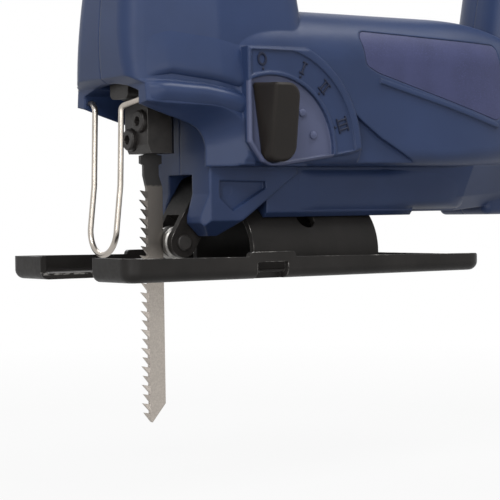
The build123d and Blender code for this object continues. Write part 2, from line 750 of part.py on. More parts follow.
column_rear = plate_rear + 10
column_half = gear_module * gear_teeth / 2 + 0.5 + 1.0 + wall
skirt_half = leg_half_width + 1.8
column_shape = (
    (body_floor, nose_front + 3.6, column_rear, skirt_half, skirt_half + 4.6, body_half_width - 2.0, 5.0),
    (hood_roof, nose_front + 0.8, column_rear, skirt_half, column_half, body_half_width - 1.2, 6.0),
    (hood_roof + 8, nose_front, column_rear, skirt_half - 1.4, column_half, body_half_width - 1.2, 7.0),
    (gear_axis_z + 6, nose_front + 0.6, column_rear, skirt_half - 3.0, column_half, column_half, 8.0),
    (trunnion_z + 8, nose_front + 3.4, column_rear - 2, trunnion_end - 0.5, column_half - 4, 20.0, 8.0),
    (rod_top + 5, nose_front + 8.0, column_rear - 6, 11.5, 15.0, 15.0, 7.0),
)


def column(grow=0.0):
    return loft([column_section(*row, grow) for row in column_shape])


def nose_slope():
    return outline(
        (nose_front - 10, rod_top - 16),
        (nose_front + 5, rod_top - 4),
        (nose_front + 19, rod_top + 9),
        (nose_front + 19, rod_top + 30),
        (nose_front - 10, rod_top + 30),
    )


def body_section(x, half, floor, top, low_radius, high_radius):
    face = Pos(0, (floor + top) / 2) * Rectangle(2 * half, top - floor)
    face = fillet(face.vertices().group_by(Axis.Y)[-1], high_radius)
    face = fillet(face.vertices().group_by(Axis.Y)[0], low_radius)
    return Plane.YZ.offset(x) * face


body_start = gear_front + 1.0
body_shape = [
    (body_start, column_half, body_floor, body_top - 2, 4.0, 15.0),
    (body_start + 12, body_half_width - 1.4, body_floor, body_top - 0.6, 4.0, 16.0),
    (stator_front - 14, body_half_width - 0.2, body_floor, body_top, 5.0, 17.0),
    (stator_front + 4, body_half_width, body_floor, body_top, 5.0, 17.0),
    (stator_rear - 6, body_half_width, body_floor, body_top, 5.0, 17.0),
]
for t in (0.0, 0.2, 0.4, 0.6, 0.8, 1.0):
    x = stator_rear + (body_rear - stator_rear) * t
    rear_half = body_half_width - 13.5 * t**2.2
    rear_floor = body_floor + 5.0 * t**3
    body_shape.append((x, rear_half, rear_floor, body_top - 17 * t**2.2, 5 + 5 * t, 17 - 6 * t))
motor_body = loft([body_section(*row) for row in body_shape])


def keel_section(x, floor, low, side, side_z, top):
    return Plane.YZ.offset(x) * outline(
        (-low, floor),
        (low, floor),
        (side, side_z),
        (top, body_floor + 6),
        (-top, body_floor + 6),
        (-side, side_z),
    )


keel_low = keel_half_width - 1.6
keel_front = 34.6
keel_rear = body_rear - 16
belly_floor = keel_floor + 1.2
keel_edge = keel_floor + 1.6
keel = loft([
    keel_section(keel_front, keel_floor, keel_low, keel_half_width, keel_edge, keel_half_width),
    keel_section(keel_step, keel_floor, keel_low, keel_half_width, keel_edge, keel_half_width),
])
belly = loft([
    keel_section(barrel_rear + 4, belly_floor, keel_low - 1, keel_half_width, belly_floor + 2.4, keel_half_width),
    keel_section(stator_rear + 16, belly_floor, keel_low - 1, 19.0, belly_floor + 5, body_half_width - 1.6),
])
tail_end = loft([
    keel_section(stator_rear + 16, belly_floor, keel_low - 1, 19.0, belly_floor + 5, body_half_width - 1.6),
    keel_section(keel_rear, belly_floor + 3, keel_low - 4, 14.0, belly_floor + 7, 20.0),
])
heel = box(keel_rear - 18, keel_rear - 2, 1 - keel_low, keel_low - 1, keel_floor - 0.4, body_floor)
heel = fillet(heel.edges().filter_by(Axis.Z), 3.0)
heel = fillet(heel.edges().group_by(Axis.Z)[0], 2.4)
keel += belly + tail_end

# Legs behind the blade, with the brace down to the foot
leg_outline = outline(
    (leg_front, window_top + 12),
    (leg_front, 27.0),
    (leg_front - 2.2, 19.6),
    (leg_front - 2.2, 17.6),
    (leg_front + 2.2, foot_z),
    (leg_front + 5.6, foot_z),
    (46.5, 33.4),
    (46.5, window_top + 12),
)
legs = along_y(leg_outline, -leg_half_width, leg_half_width)
tilt_slack = 0.8
foot_cut = outline(
    (leg_half_width + 1, leg_half_width + 1 + tilt_slack),
    (foot_z - tilt_slack - 2, foot_z - 2),
    (leg_half_width + 1, foot_z - 2),
)
legs -= mirrored(along_x(mirror(foot_cut, about=Plane.YZ), 0, 60))
legs = chamfer(legs.edges().filter_by(Axis.Z).group_by(Axis.X)[0], 2.6)
brace_pocket = outline((15.4, 31.2), (33.4, 30.8), (33.6, 28.6), (20.4, 21.4), (15.4, 25.8))
legs -= along_y(brace_pocket, -leg_half_width - 1, -leg_half_width + 1.6)
legs -= along_y(brace_pocket, leg_half_width - 1.6, leg_half_width + 1)

# Handle: one rounded bar bent round the finger gap
handle_points = ((6.0, 112.0), (45.0, 149.0), (138.0, 157.0), (165.0, 122.0), (154.0, 64.0))
handle_line = FilletPolyline(*handle_points, radius=26)
handle_path = Plane.XZ * handle_line


def handle_section(inset):
    face = RectangleRounded(handle_width - 2 * inset, handle_height - 2 * inset, handle_round - inset)
    return Plane(origin=handle_path @ 0, x_dir=(0, 1, 0), z_dir=handle_path % 0) * face


handle = sweep(handle_section(0), path=handle_path)
grip_dir = Vector(handle_points[2][0] - handle_points[1][0], 0, handle_points[2][1] - handle_points[1][1])
grip_start = Vector(handle_points[1][0], 0, handle_points[1][1]) + grip_dir.normalized() * 14
grip_length = grip_dir.length - 30
grip_plane = Plane(origin=grip_start, x_dir=(0, 1, 0), z_dir=grip_dir)
grip_outer = RectangleRounded(handle_width, handle_height, handle_round)
grip_inner = RectangleRounded(
    handle_width - 2 * grip_thickness,
    handle_height - 2 * grip_thickness,
    handle_round - grip_thickness,
)
grip_sleeve = extrude(grip_plane * (grip_outer - grip_inner), amount=grip_length)

# Bead along the hood's lower edge, dial bezel and label panel stand on the outer shapes
bead_line = (
    (nose_front + 1.5, 61.6),
    (-7.0, 61.8),
    (5.5, 60.8),
    (14.6, 59.0),
    (23.0, 56.6),
)
bead_foot = ((23.0, 36.0), (nose_front + 1.5, 36.0))
bead_rise = [(x, z + 1.0) for x, z in bead_line]
bead = column(1.3) & along_y(outline(*bead_line, *bead_foot), -40, 40)
bead += column(0.6) & along_y(outline(*bead_rise, *bead_foot), -40, 40)
bezel_front = selector_x - 9.3
bezel_top = body_top - 14.0
bezel_face = disc(selector_x, selector_z, bezel_radius) & outline(
    (bezel_front, bezel_top),
    (bezel_front, 43.2),
    (selector_x - 4.4, 36.9),
    (selector_x - 1.0, body_floor + 0.1),
    (selector_x + 3.4, body_floor + 0.1),
    (selector_x + 31, 39.4),
    (selector_x + 38, 41.4),
    (selector_x + 38, bezel_top),
)
bezel = along_y(bezel_face, bezel_y, 0)
bezel = chamfer(bezel.edges().group_by(Axis.Y)[0], 0.8)
ridge_line = ((72.3, 63.1), (98.6, 56.5), (126.3, 49.0))
ridge_back = [(x, z + 1.7) for x, z in reversed(ridge_line)]
ridge_body = loft([body_section(x, half + 0.8, *rest) for x, half, *rest in body_shape])
ridge = ridge_body & mirrored(along_y(outline(*ridge_line, *ridge_back), -40, -20))
shell = column() - along_y(nose_slope(), -40, 40)
shell += motor_body + keel + heel + legs + handle + bead + bezel + ridge
crease = outline((58.0, 56.0), (65.2, 50.2), (72.8, 45.0), (88.4, 36.7), (88.4, 34.0), (58.0, 34.0))
crease_cut = along_y(crease, -40, -body_half_width + 1.8)
shell -= crease_cut - along_y(disc(selector_x, selector_z, bezel_radius), -41, 0)


# Hood: open in front and below, with flared edges at its sides
def hood_profile(curve, rear):
    edge = Spline(*curve)
    frame = Polyline(curve[-1], (rear, 26.0), (nose_front - 4, 26.0), curve[0])
    return make_face(edge + frame)


hood_rear = leg_front - 1.5
inner_curve = (
    (nose_front - 4, 56.4),
    (-14.2, 55.2),
    (-9.8, 53.7),
    (-3.0, 51.6),
    (4.1, 49.3),
    (7.6, 47.2),
    (9.4, 44.4),
    (hood_rear, 40.0),
)
flare_rear = leg_front + 9.7
outer_curve = (
    (nose_front - 4, 57.0),
    (-14.2, 56.7),
    (-7.6, 56.7),
    (2.6, 56.4),
    (9.5, 55.5),
    (15.5, 53.1),
    (19.3, 50.0),
    (flare_rear, 44.3),
)
hood_side = hood_profile(inner_curve, hood_rear)
shell -= along_y(hood_side, -skirt_inner - 1, skirt_inner + 1)
flare = loft([
    Plane.XZ.offset(skirt_inner + 0.6) * hood_profile(inner_curve, hood_rear),
    Plane.XZ.offset(body_half_width - 1.5) * hood_profile(outer_curve, flare_rear),
])
shell -= mirrored(flare)
nose_lip = outline(
    (nose_front - 4, 30.0),
    (nose_front - 4, hood_roof + 3.0),
    (nose_front - 0.1, hood_roof + 3.0),
    (-14.4, hood_roof),
    (-14.2, 30.0),
)
shell -= along_y(nose_lip, -40, 40)
roof_arc = ThreePointArc((skirt_inner, hood_roof - 2), (0, hood_roof + 1), (-skirt_inner, hood_roof - 2))
roof_frame = Polyline(
    (-skirt_inner, hood_roof - 2),
    (-skirt_inner, window_top),
    (skirt_inner, window_top),
    (skirt_inner, hood_roof - 2),
)
shell -= along_x(make_face(roof_arc + roof_frame), nose_front - 5, leg_front)
for side in (-1, 1):
    shell -= rod_y(
        side * (skirt_inner + 0.9) - 2.2,
        side * (skirt_inner + 0.9) + 2.2,
        guard_eye_x,
        guard_eye_z,
        wire_radius + run_fit,
    )

# Window for the fork, bores of the selector and of the fork's pin, pocket of the dial
window_rear = fork_pivot_x + fork_end_radius + 2.5
shell -= box(leg_front - 6, window_rear, -window_half_width, window_half_width, 0, window_top)
tail_rear = fork_pivot_x + 8.8
shell -= box(fork_pivot_x - 4, tail_rear, -cheek_inner - 0.6, cheek_inner + 0.6, window_top - 1, tail_top + 1.2)
shell -= rod_y(-fork_pin_end, fork_pin_end, fork_pivot_x, fork_pivot_z, fork_pin_radius)
shell -= rod_y(-40, shaft_end + seat_gap, selector_x, selector_z, selector_shaft_radius + run_fit)
dial_area = outline(
    (bezel_front + 0.9, 43.8),
    (selector_x - 3.8, 37.6),
    (selector_x - 1.0, body_floor + 1.0),
    (selector_x + 3.6, body_floor + 1.0),
    (selector_x + 31, 40.4),
    (selector_x + 38, 42.4),
    (selector_x + 38, bezel_top - 1.0),
    (bezel_front + 0.9, bezel_top - 1.0),
)
dial_face = disc(selector_x, selector_z, dial_radius) & dial_area
dial_face += disc(selector_x, selector_z, knob_foot + 1.0)
shell -= along_y(dial_face, -40, dial_y)
band_face = disc(selector_x, selector_z, band_outer) - disc(selector_x, selector_z, band_inner)
shell -= along_y(band_face & dial_area, -40, bezel_y + band_depth)

# Hollows for the plunger, the gears and the motor
swing_room = (trunnion_z - lower_ring_z) * sin(radians(guide_swing)) + free_gap
guide_front = -ring_radius - guide_strap_thickness - swing_room
guide_half = ring_radius + 1.2
shell -= box(
    guide_front,
    max(yoke_rear, ring_radius) + 2 * free_gap,
    -guide_half,
    guide_half,
    lower_ring_z - 8,
    upper_ring_z + guide_ring_height + free_gap,
)
shell -= rod_y(-trunnion_end - 0.3, trunnion_end + 0.3, 0, trunnion_z, trunnion_radius + run_fit)
shell -= rod_z(upper_ring_z, rod_top + 1, 0, 0, rod_radius + 1.5)
shell -= box(
    rod_radius - 3.5,
    gear_front,
    -yoke_half_width - 0.8,
    yoke_half_width + 0.8,
    yoke_z - stroke - yoke_half_height - 0.6,
    yoke_z + yoke_half_height + 0.8,
)
gear_tip = gear_module * gear_teeth / 2 + 0.5 * scale
shell -= rod_x(gear_front - 1, plate_front, 0, gear_axis_z, gear_tip + 1.0)
shell -= rod_x(gear_front - 1, plate_front, 0, motor_axis_z, gear_module * pinion_teeth / 2 + 2.0)
shell -= along_x(offset(plate_body, seat_gap), plate_front - seat_gap, plate_rear + seat_gap)
chamber_radius = fan_radius + 1.2
shell -= rod_x(plate_rear, stator_front, 0, motor_axis_z, chamber_radius)
shell -= rod_x(stator_front, stator_rear, 0, motor_axis_z, stator_radius + seat_gap)
shell -= rod_x(stator_rear, rear_bearing_front - 1.5, 0, motor_axis_z, chamber_radius)
shell -= box(brush_x - 4.5, brush_x + 4.5, -23.1, 23.1, motor_axis_z - 3.7, motor_axis_z + 3.7)
shell -= rod_x(rear_bearing_front - 2, shaft_rear + seat_gap, 0, motor_axis_z, bearing_radius + run_fit)
wiring_rear = body_rear - gland_length + 2
shell -= box(shaft_rear + 3.5, wiring_rear, -13, 13, gland_z - 9, gland_z + 15)
shell -= rod_x(barrel_front - 1.5, barrel_rear + 1.5, 0, tilt_axis_z, barrel_radius + free_gap)
shell -= rod_z(keel_floor - 5, nut_top + 1, base_screw_x, 0, base_screw_radius + 0.2)
shell -= box(
    base_screw_x - nut_half_side - seat_gap,
    base_screw_x + nut_half_side + seat_gap,
    -nut_half_side - seat_gap,
    nut_half_side + seat_gap,
    nut_floor - seat_gap,
    nut_top + seat_gap,
)

# Hollow handle with its grip sleeve, switch, trigger and lock-on button
handle_wall = grip_thickness + wall
hollow_start = box(-40, plate_rear + 2, -40, 40, 0, rod_top + 8)
shell -= sweep(handle_section(handle_wall), path=handle_path) - hollow_start
grip_room = RectangleRounded(handle_width + 10, handle_height + 10, handle_round) - grip_inner
shell -= extrude(grip_plane * grip_room, amount=grip_length)
grip_frame = grip_plane.location
switch_half_width = handle_width / 2 - handle_wall - seat_gap
switch_at = 8 + switch_length / 2
switch_floor = -5.0
switch_face = RectangleRounded(
    2 * switch_half_width,
    handle_height - 2 * handle_wall - 2 * seat_gap,
    handle_round - handle_wall,
)
switch_face &= Pos(0, switch_floor + switch_height / 2) * Rectangle(handle_width, switch_height)
switch_body = extrude(grip_plane.offset(switch_at - switch_length / 2) * switch_face, amount=switch_length)
trigger_face = outline(
    (0.0, -11.6),
    (trigger_length, -10.6),
    (trigger_length + 0.6, -17.0),
    (trigger_length - 3.0, -23.0),
    (trigger_length - 9.0, -25.0),
    (trigger_length * 0.4, -22.6),
    (trigger_length * 0.14, -18.6),
    (0.0, -16.4),
)
trigger_face = fillet(trigger_face.vertices().sort_by(Axis.Y)[:4], 2.2)
trigger_frame = Plane(origin=grip_start, x_dir=grip_dir, z_dir=(0, -1, 0))
trigger_start = 5.0
pivot_a = trigger_start + 3.2
pivot_u = -12.8
trigger = extrude(
    trigger_frame.offset(-trigger_half_width) * (Pos(trigger_start, 0) * trigger_face),
    amount=2 * trigger_half_width,
)
trigger = fillet(trigger.edges().group_by(Axis.Y)[0] + trigger.edges().group_by(Axis.Y)[-1], 1.2)
axle_half = trigger_half_width + 1.4
axle_face = trigger_frame.offset(-axle_half) * disc(pivot_a, pivot_u, 1.6)
trigger += extrude(axle_face, amount=2 * axle_half)
trigger_room = Box(2 * (trigger_half_width + free_gap), 20, trigger_length + 3.2)
trigger_room = grip_frame * Pos(0, -16.4, trigger_start + trigger_length / 2) * trigger_room
shell -= trigger_room
grip_sleeve -= trigger_room
axle_room = trigger_frame.offset(-axle_half - 0.3) * disc(pivot_a, pivot_u, 1.6 + run_fit)
axle_room = extrude(axle_room, amount=2 * axle_half + 0.6)
shell -= axle_room
grip_sleeve -= axle_room
button_spot = grip_frame * Pos(0, switch_floor + switch_height / 2, switch_at + 8)
button_end = -handle_width / 2 - button_proud
button_inner = -switch_half_width - button_travel - free_gap
button = rod_y(button_end, button_inner, 0, 0, button_radius)
button = fillet(button.edges().group_by(Axis.Y)[0], 1.4)
button_hole = rod_y(button_end - 5, -switch_half_width, 0, 0, button_radius + free_gap)
button_shift = Pos(button_spot.position.X, 0, button_spot.position.Z)
lock_button = button_shift * button
shell -= button_shift * button_hole
grip_sleeve -= button_shift * button_hole

# Screw bosses, screws from the right side
screw_spots = (
    (plate_rear + 2, trunnion_z + 2),
    (plate_rear, keel_floor + 11),
    (stator_rear + 2, keel_floor + 6),
    (shaft_rear + 2, body_top - 11),
    (36.0, 141.0),
    (160.0, 116.0),
)
for x, z in screw_spots[4:]:
    shell += rod_y(-handle_width / 2 + 3, handle_width / 2 - 3, x, z, screw_head_radius + 1.6)
housing_screws = []
for x, z in screw_spots:
    shell -= rod_y(screw_tip_y - 0.5, screw_head_y, x, z, screw_radius)
    shell -= rod_y(screw_head_y - screw_head_height, 40, x, z, screw_head_radius + seat_gap)
    screw = rod_y(screw_tip_y, screw_head_y - screw_head_height, x, z, screw_radius)
    head = rod_y(screw_head_y - screw_head_height, screw_head_y, x, z, screw_head_radius)
    screw += fillet(head.edges().group_by(Axis.Y)[-1], 0.8)
    drive = Plane.XZ.offset(-screw_head_y) * (Pos(x, z) * RegularPolygon(1.7, 6))
    housing_screws.append(screw - extrude(drive, amount=1.6))
housing_screws = Compound(children=housing_screws)

# Air slots at the rear sides and under the fan
for i in range(5):
    slot_x = shaft_rear + 6 + 5.2 * i
    slot_face = Pos(slot_x, gland_z + 3) * Rot(0, 0, 78) * SlotOverall(17, 2.6)
    shell -= mirrored(along_y(slot_face, -40, -12))
for i in range(3):
    slot_x = fan_front + 1.2 + 3.6 * i
    shell -= mirrored(box(slot_x, slot_x + 2.0, -23.5, -keel_half_width - 1.5, body_floor - 2, motor_axis_z - 8))

# Cord inlet
gland_front = body_rear - gland_length + 3
cord_gland = ring_x(gland_front, body_rear + 3, gland_z, gland_radius, cord_radius)
cord_gland = fillet(cord_gland.edges().group_by(Axis.X)[-1].sort_by(SortBy.RADIUS)[-1], 1.6)
cord_gland += ring_x(gland_front, gland_front + 3, gland_z, gland_radius + gland_collar, cord_radius)
shell -= rod_x(gland_front - 1, body_rear + 5, 0, gland_z, gland_radius + seat_gap)
shell -= rod_x(gland_front - seat_gap, gland_front + 3 + seat_gap, 0, gland_z, gland_radius + gland_collar + seat_gap)

# Label panels let into both sides of the motor housing
panel_depth = 1.2
panel_face = outline(
    (stator_front + 5.0, 69.0),
    (stator_front + 10.0, 66.6),
    (shaft_rear - 8, 51.8),
    (shaft_rear - 3, 54.0),
    (shaft_rear - 7, 78.0),
    (stator_front + 3.0, 80.5),
)
panel_face = fillet(panel_face.vertices(), 2.4)
inner_shape = [
    (x, half - panel_depth, floor, top - panel_depth, low, high - panel_depth)
    for x, half, floor, top, low, high in body_shape
]
skin = motor_body - loft([body_section(*row) for row in inner_shape])
side_panel_left = skin & along_y(panel_face, -40, -5)
shell -= along_y(offset(panel_face, seat_gap), -40, -5) & skin
side_panel_right = mirror(side_panel_left, about=Plane.XZ)
shell -= along_y(offset(panel_face, seat_gap), 5, 40) & skin

# Two half shells with a fine seam between them
housing_left = shell & box(-60, 220, -60, -seam_gap / 2, -20, 220)
housing_right = shell & box(-60, 220, seam_gap / 2, 60, -20, 220)

nodes = {
    "housing_left": housing_left,
    "housing_right": housing_right,
    "housing_screws": housing_screws,
    "grip_sleeve": grip_sleeve,
    "side_panel_left": side_panel_left,
    "side_panel_right": side_panel_right,
    "cord_gland": cord_gland,
    "switch_body": switch_body,
    "trigger": trigger,
    "lock_button": lock_button,
    "stator_core": stator_core,
    "field_coils": field_coils,
    "front_bearing": front_bearing,
    "rear_bearing": rear_bearing,
    "brush_holders": brush_holders,
    "carbon_brushes": carbon_brushes,
    "armature_shaft": armature_shaft,
    "armature_core": armature_core,
    "armature_coils": armature_coils,
    "commutator": commutator,
    "fan": fan,
    "gear_plate": gear_plate,
    "gear_axle": gear_axle,
    "drive_gear": drive_gear,
    "gear_bush": gear_bush,
    "crank_pin": crank_pin,
    "plunger_guide": plunger_guide,
    "guide_bushes": guide_bushes,
    "plunger_rod": plunger_rod,
    "blade_clamp": blade_clamp,
    "clamp_screws": clamp_screws,
    "saw_blade": saw_blade,
    "wire_guard": wire_guard,
    "roller_fork": roller_fork,
    "roller_pin": roller_pin,
    "guide_roller": guide_roller,
    "lever_pin": lever_pin,
    "selector_shaft": selector_shaft,
    "selector_knob": selector_knob,
    "base_plate": base_plate,
    "tilt_bracket": tilt_bracket,
    "bracket_rivets": bracket_rivets,
    "base_screw": base_screw,
    "base_saddle": base_saddle,
    "nut_plate": nut_plate,
}
for name, shape in nodes.items():
    export_step(shape, f"parts/{name}.step")
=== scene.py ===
"""Looks of a corded orbital jigsaw: moulded navy housing, black pressed base, ground steel blade.

Sizes are in metres, or in millimetres where a name ends in _MM or _mm. +X points to the tool's rear,
+Y to its right and +Z up.
"""

import math

import bmesh
import bpy
from mathutils import Matrix, Vector
from mathutils.bvhtree import BVHTree


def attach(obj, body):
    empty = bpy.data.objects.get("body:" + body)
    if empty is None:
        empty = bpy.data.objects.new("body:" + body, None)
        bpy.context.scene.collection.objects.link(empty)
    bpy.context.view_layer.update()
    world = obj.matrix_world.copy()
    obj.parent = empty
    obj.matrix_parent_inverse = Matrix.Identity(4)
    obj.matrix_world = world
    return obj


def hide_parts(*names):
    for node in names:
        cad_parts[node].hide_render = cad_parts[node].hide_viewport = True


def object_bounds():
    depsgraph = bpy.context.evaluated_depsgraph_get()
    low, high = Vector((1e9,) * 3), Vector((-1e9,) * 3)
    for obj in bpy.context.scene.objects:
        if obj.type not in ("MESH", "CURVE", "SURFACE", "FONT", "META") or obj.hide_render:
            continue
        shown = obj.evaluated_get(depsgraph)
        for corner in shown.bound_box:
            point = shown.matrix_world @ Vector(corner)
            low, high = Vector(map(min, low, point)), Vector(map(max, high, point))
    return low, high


MM = 0.001

# Camera of the photograph: place in mm, angles in radians, focal length in pixels of a 500 px frame
CAMERA_AT_MM = (-307.14, -494.36, 21.89)
CAMERA_YAW = math.radians(35.0)
CAMERA_PITCH = -0.02293
CAMERA_ROLL = -0.01443
FOCAL_PX = 1789.6
FRAME_PX = 500
SENSOR_MM = 36.0

# Dial: centre of the selector, its plate and numeral band, and the direction of each setting
DIAL_X_MM = 27.5
DIAL_Z_MM = 40.5
PLATE_RADIUS_MM = 24.0
PLATE_Y_MM = -29.5
BAND_Y_MM = -30.3
NUMERAL_RADIUS_MM = 29.3
NUMERAL_HEIGHT_MM = 4.3
NUMERAL_STROKE_MM = 0.62
NUMERAL_PITCH_MM = 1.55
NUMERAL_RISE_MM = 0.45
ZERO_RADIUS_MM = 1.75
ZERO_STRETCH = 1.25
PIP_INSET_MM = 3.1
DETENT_RADIUS_MM = 17.2
SETTING_ANGLES = {"0": 98.0, "I": 65.2, "II": 45.0, "III": 17.0}

# Grip: start of the sleeve, its direction in XZ and its half width, the lock-on button on its left
GRIP_START_MM = (58.95, 150.20)
GRIP_DIRECTION = (0.99632, 0.08571)
GRIP_HALF_WIDTH_MM = 16.5
BUTTON_ALONG_MM = 34.0
BUTTON_UP_MM = 2.5
BUTTON_FACE_Y_MM = -19.9
BUTTON_CLEAR_MM = 8.4

# Ribs of the grip and ridges of the trigger: sizes are length, width and height
RIB_COUNT = 17
RIB_FIRST_MM = 4.5
RIB_PITCH_MM = 3.4
RIB_SINK_MM = 0.05
RIB_SIZE_MM = (8.0, 1.5, 0.55)
RIDGE_START_MM = (17.0, -22.6)
RIDGE_END_MM = (26.0, -25.0)
RIDGE_SHARES = (0.08, 0.32, 0.56, 0.80)
RIDGE_SIZE_MM = (10.0, 1.0, 0.4)

# Turned trim: (radius, height) of each profile
PIP_PROFILE_MM = ((0.42, -0.1), (0.42, 0.2), (0.26, 0.36), (0.05, 0.4))
DETENT_PROFILE_MM = ((1.3, -0.1), (1.3, 0.5), (1.12, 0.72), (0.8, 0.84), (0.1, 0.88))
RING_PROFILE_MM = ((2.5, -0.1), (3.3, -0.1), (3.3, 0.18), (3.1, 0.30), (2.7, 0.30), (2.5, 0.18))

# Wire guard: half of its path, from the eye in the hood's wall to the foot
WIRE_RADIUS_MM = 0.95
WIRE_BEND_MM = 2.2
WIRE_HALF_MM = (
    (-12.3, -19.3, 57.0), (-12.3, -15.4, 57.0), (-15.5, -8.2, 54.9),
    (-16.3, -8.2, 30.0), (-17.9, -8.2, 16.1),
)
WIRE_FOOT_MM = (-18.3, 0.0, 7.9)
WIRE_FOOT_STEPS = 24
WIRE_SIDES = 14

# Selector lever: (x, z, corner radius) of its outline on the plate and at its crest
LEVER_ROOT_MM = ((20.1, 62.0, 1.0), (23.4, 36.6, 3.0), (31.4, 36.6, 3.6), (29.4, 62.0, 5.2))
LEVER_CREST_MM = ((20.7, 61.5, 1.0), (23.6, 36.8, 2.8), (33.9, 36.8, 4.4), (30.8, 61.5, 5.4))
LEVER_ROOT_Y_MM = -29.9
LEVER_TIP_Y_MM = -42.0
LEVER_SLOPE = 0.3077
LEVER_ROUND_MM = 1.3
LEVER_ROUND_STEPS = 5
LEVER_INSET_LIMIT_MM = 0.95

# Hood: (x, z) of its rim's upper edge and of the nose's lower edge above it, (up, out) of each profile
RIM_LINE_MM = ((-16.9, 61.6), (-7.0, 61.8), (5.5, 60.8), (14.6, 59.0), (23.0, 56.6))
NOSE_LINE_MM = ((-16.9, 63.4), (-5.0, 65.2), (9.3, 63.2), (22.0, 60.2))
RIM_PROFILE_MM = (
    (0.6, -0.3), (0.2, 0.6), (-0.5, 1.15), (-1.6, 1.7), (-3.2, 1.55), (-4.8, 0.75), (-6.0, -0.2),
)
NOSE_PROFILE_MM = (
    (-0.7, -0.1), (0.6, 1.3), (1.5, 1.55), (4.0, 1.35), (8.0, 0.75), (12.0, 0.2), (14.0, -0.3),
)
RIM_FADE_MM = 4.0
NOSE_FADE_MM = 7.0
HOOD_SINK_MM = 1.2
HOOD_FRONT_MM = -13.8
HOOD_REAR_MM = 17.2
HOOD_TAIL_MM = 2.4
HOOD_STEPS = 32
FADE_SINK_MM = 0.15

# Keel flank: its stretch and steps along X and Z, the steps its edge rises over, how often it is smoothed
KEEL_X_MM = (46.0, 121.0)
KEEL_Z_MM = (20.7, 35.2)
KEEL_STEPS_X = 38
KEEL_STEPS_Z = 12
KEEL_EDGE_X = 4
KEEL_EDGE_Z = 2
KEEL_BLUR = 30
KEEL_RISE_MM = 0.7
KEEL_EDGE_SINK_MM = 0.25

# New pieces: edges flatter than this angle are smooth, and rays start this far beside the tool
SMOOTH_BELOW = math.radians(38.0)
OUTSIDE_MM = 60.0

# Wear of the base plate's paint: stretches from the middle plane, along Z and along X
THROAT_WEAR_MM = ((16.4, 17.0), (1.5, 2.3), (-31.0, 6.0))
SLOT_WEAR_MM = ((35.0, 39.0), (-1.0, 5.9), (14.6, 28.6))

# Blade: heights where the painted shade of the hood sets in and where the blued shank starts
HOOD_SHADE_Z_MM = (2.0, 11.0)
SHANK_Z_MM = (29.6, 30.2)
SHANK_RAGGED_MM = 0.6

# Length of one band of a wave texture at scale 1, and a height above the whole tool
WAVE_BAND = 0.314
ABOVE_ALL_MM = 1000.0

# Studio: level of the world's light, depth of the floor below the blade's tip at rest, its paper and its glow
WORLD_LEVEL = 0.26
FLOOR_DEPTH = 0.02
FLOOR_HALF = 8.0
FLOOR_PAPER = 0.36
FLOOR_GLOW = 0.92
FLOOR_GLOW_REACH = (0.25, 0.6)

# Lights: name, place from the tool's middle, width and height, watts
LIGHTS = (
    ("key", (-0.95, -0.62, 0.95), (0.6, 0.6), 13.0),
    ("front", (-1.0, -0.75, -0.05), (0.5, 0.5), 4.5),
    ("fill", (-0.35, -1.25, 0.1), (0.7, 0.7), 4.0),
    ("top", (0.42, -0.36, 1.05), (0.5, 0.5), 9.0),
    ("rim", (0.2, 1.0, 0.9), (0.8, 0.6), 9.0),
)

# Colours, linear
NAVY = (0.021, 0.036, 0.090)
VIOLET = (0.042, 0.048, 0.110)
# Painted light: lighter violet for the dial plate's floor and detents, standing in for the light on the plate
DIAL_PAINTED_LIGHT = (0.078, 0.090, 0.158)
# Painted shade: dark navy for the numerals and pips, which are moulded in the housing's own navy
NUMERAL_PAINTED_SHADE = (0.010, 0.014, 0.032)
BROWN_BLACK = (0.0155, 0.0130, 0.0115)
PAINT_BLACK = (0.015, 0.0138, 0.013)
RUBBER_BLACK = (0.014, 0.014, 0.0145)
BRIGHT_STEEL = (0.62, 0.60, 0.57)
GROUND_STEEL = (0.44, 0.40, 0.36)
WIRE_STEEL = (0.45, 0.41, 0.365)
OXIDE = (0.020, 0.018, 0.017)
BRONZE = (0.40, 0.25, 0.11)
COPPER = (0.52, 0.20, 0.09)
CAST_ALUMINIUM = (0.55, 0.55, 0.55)
LAMINATION = (0.22, 0.22, 0.23)
CARBON = (0.018, 0.018, 0.019)
FAN_GREY = (0.06, 0.06, 0.062)


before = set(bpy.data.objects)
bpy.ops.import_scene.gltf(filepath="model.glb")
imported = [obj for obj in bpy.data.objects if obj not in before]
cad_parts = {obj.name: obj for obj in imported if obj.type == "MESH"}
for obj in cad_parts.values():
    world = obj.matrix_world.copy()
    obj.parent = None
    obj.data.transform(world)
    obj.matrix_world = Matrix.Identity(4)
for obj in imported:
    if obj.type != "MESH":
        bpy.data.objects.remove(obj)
cad_low, cad_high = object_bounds()


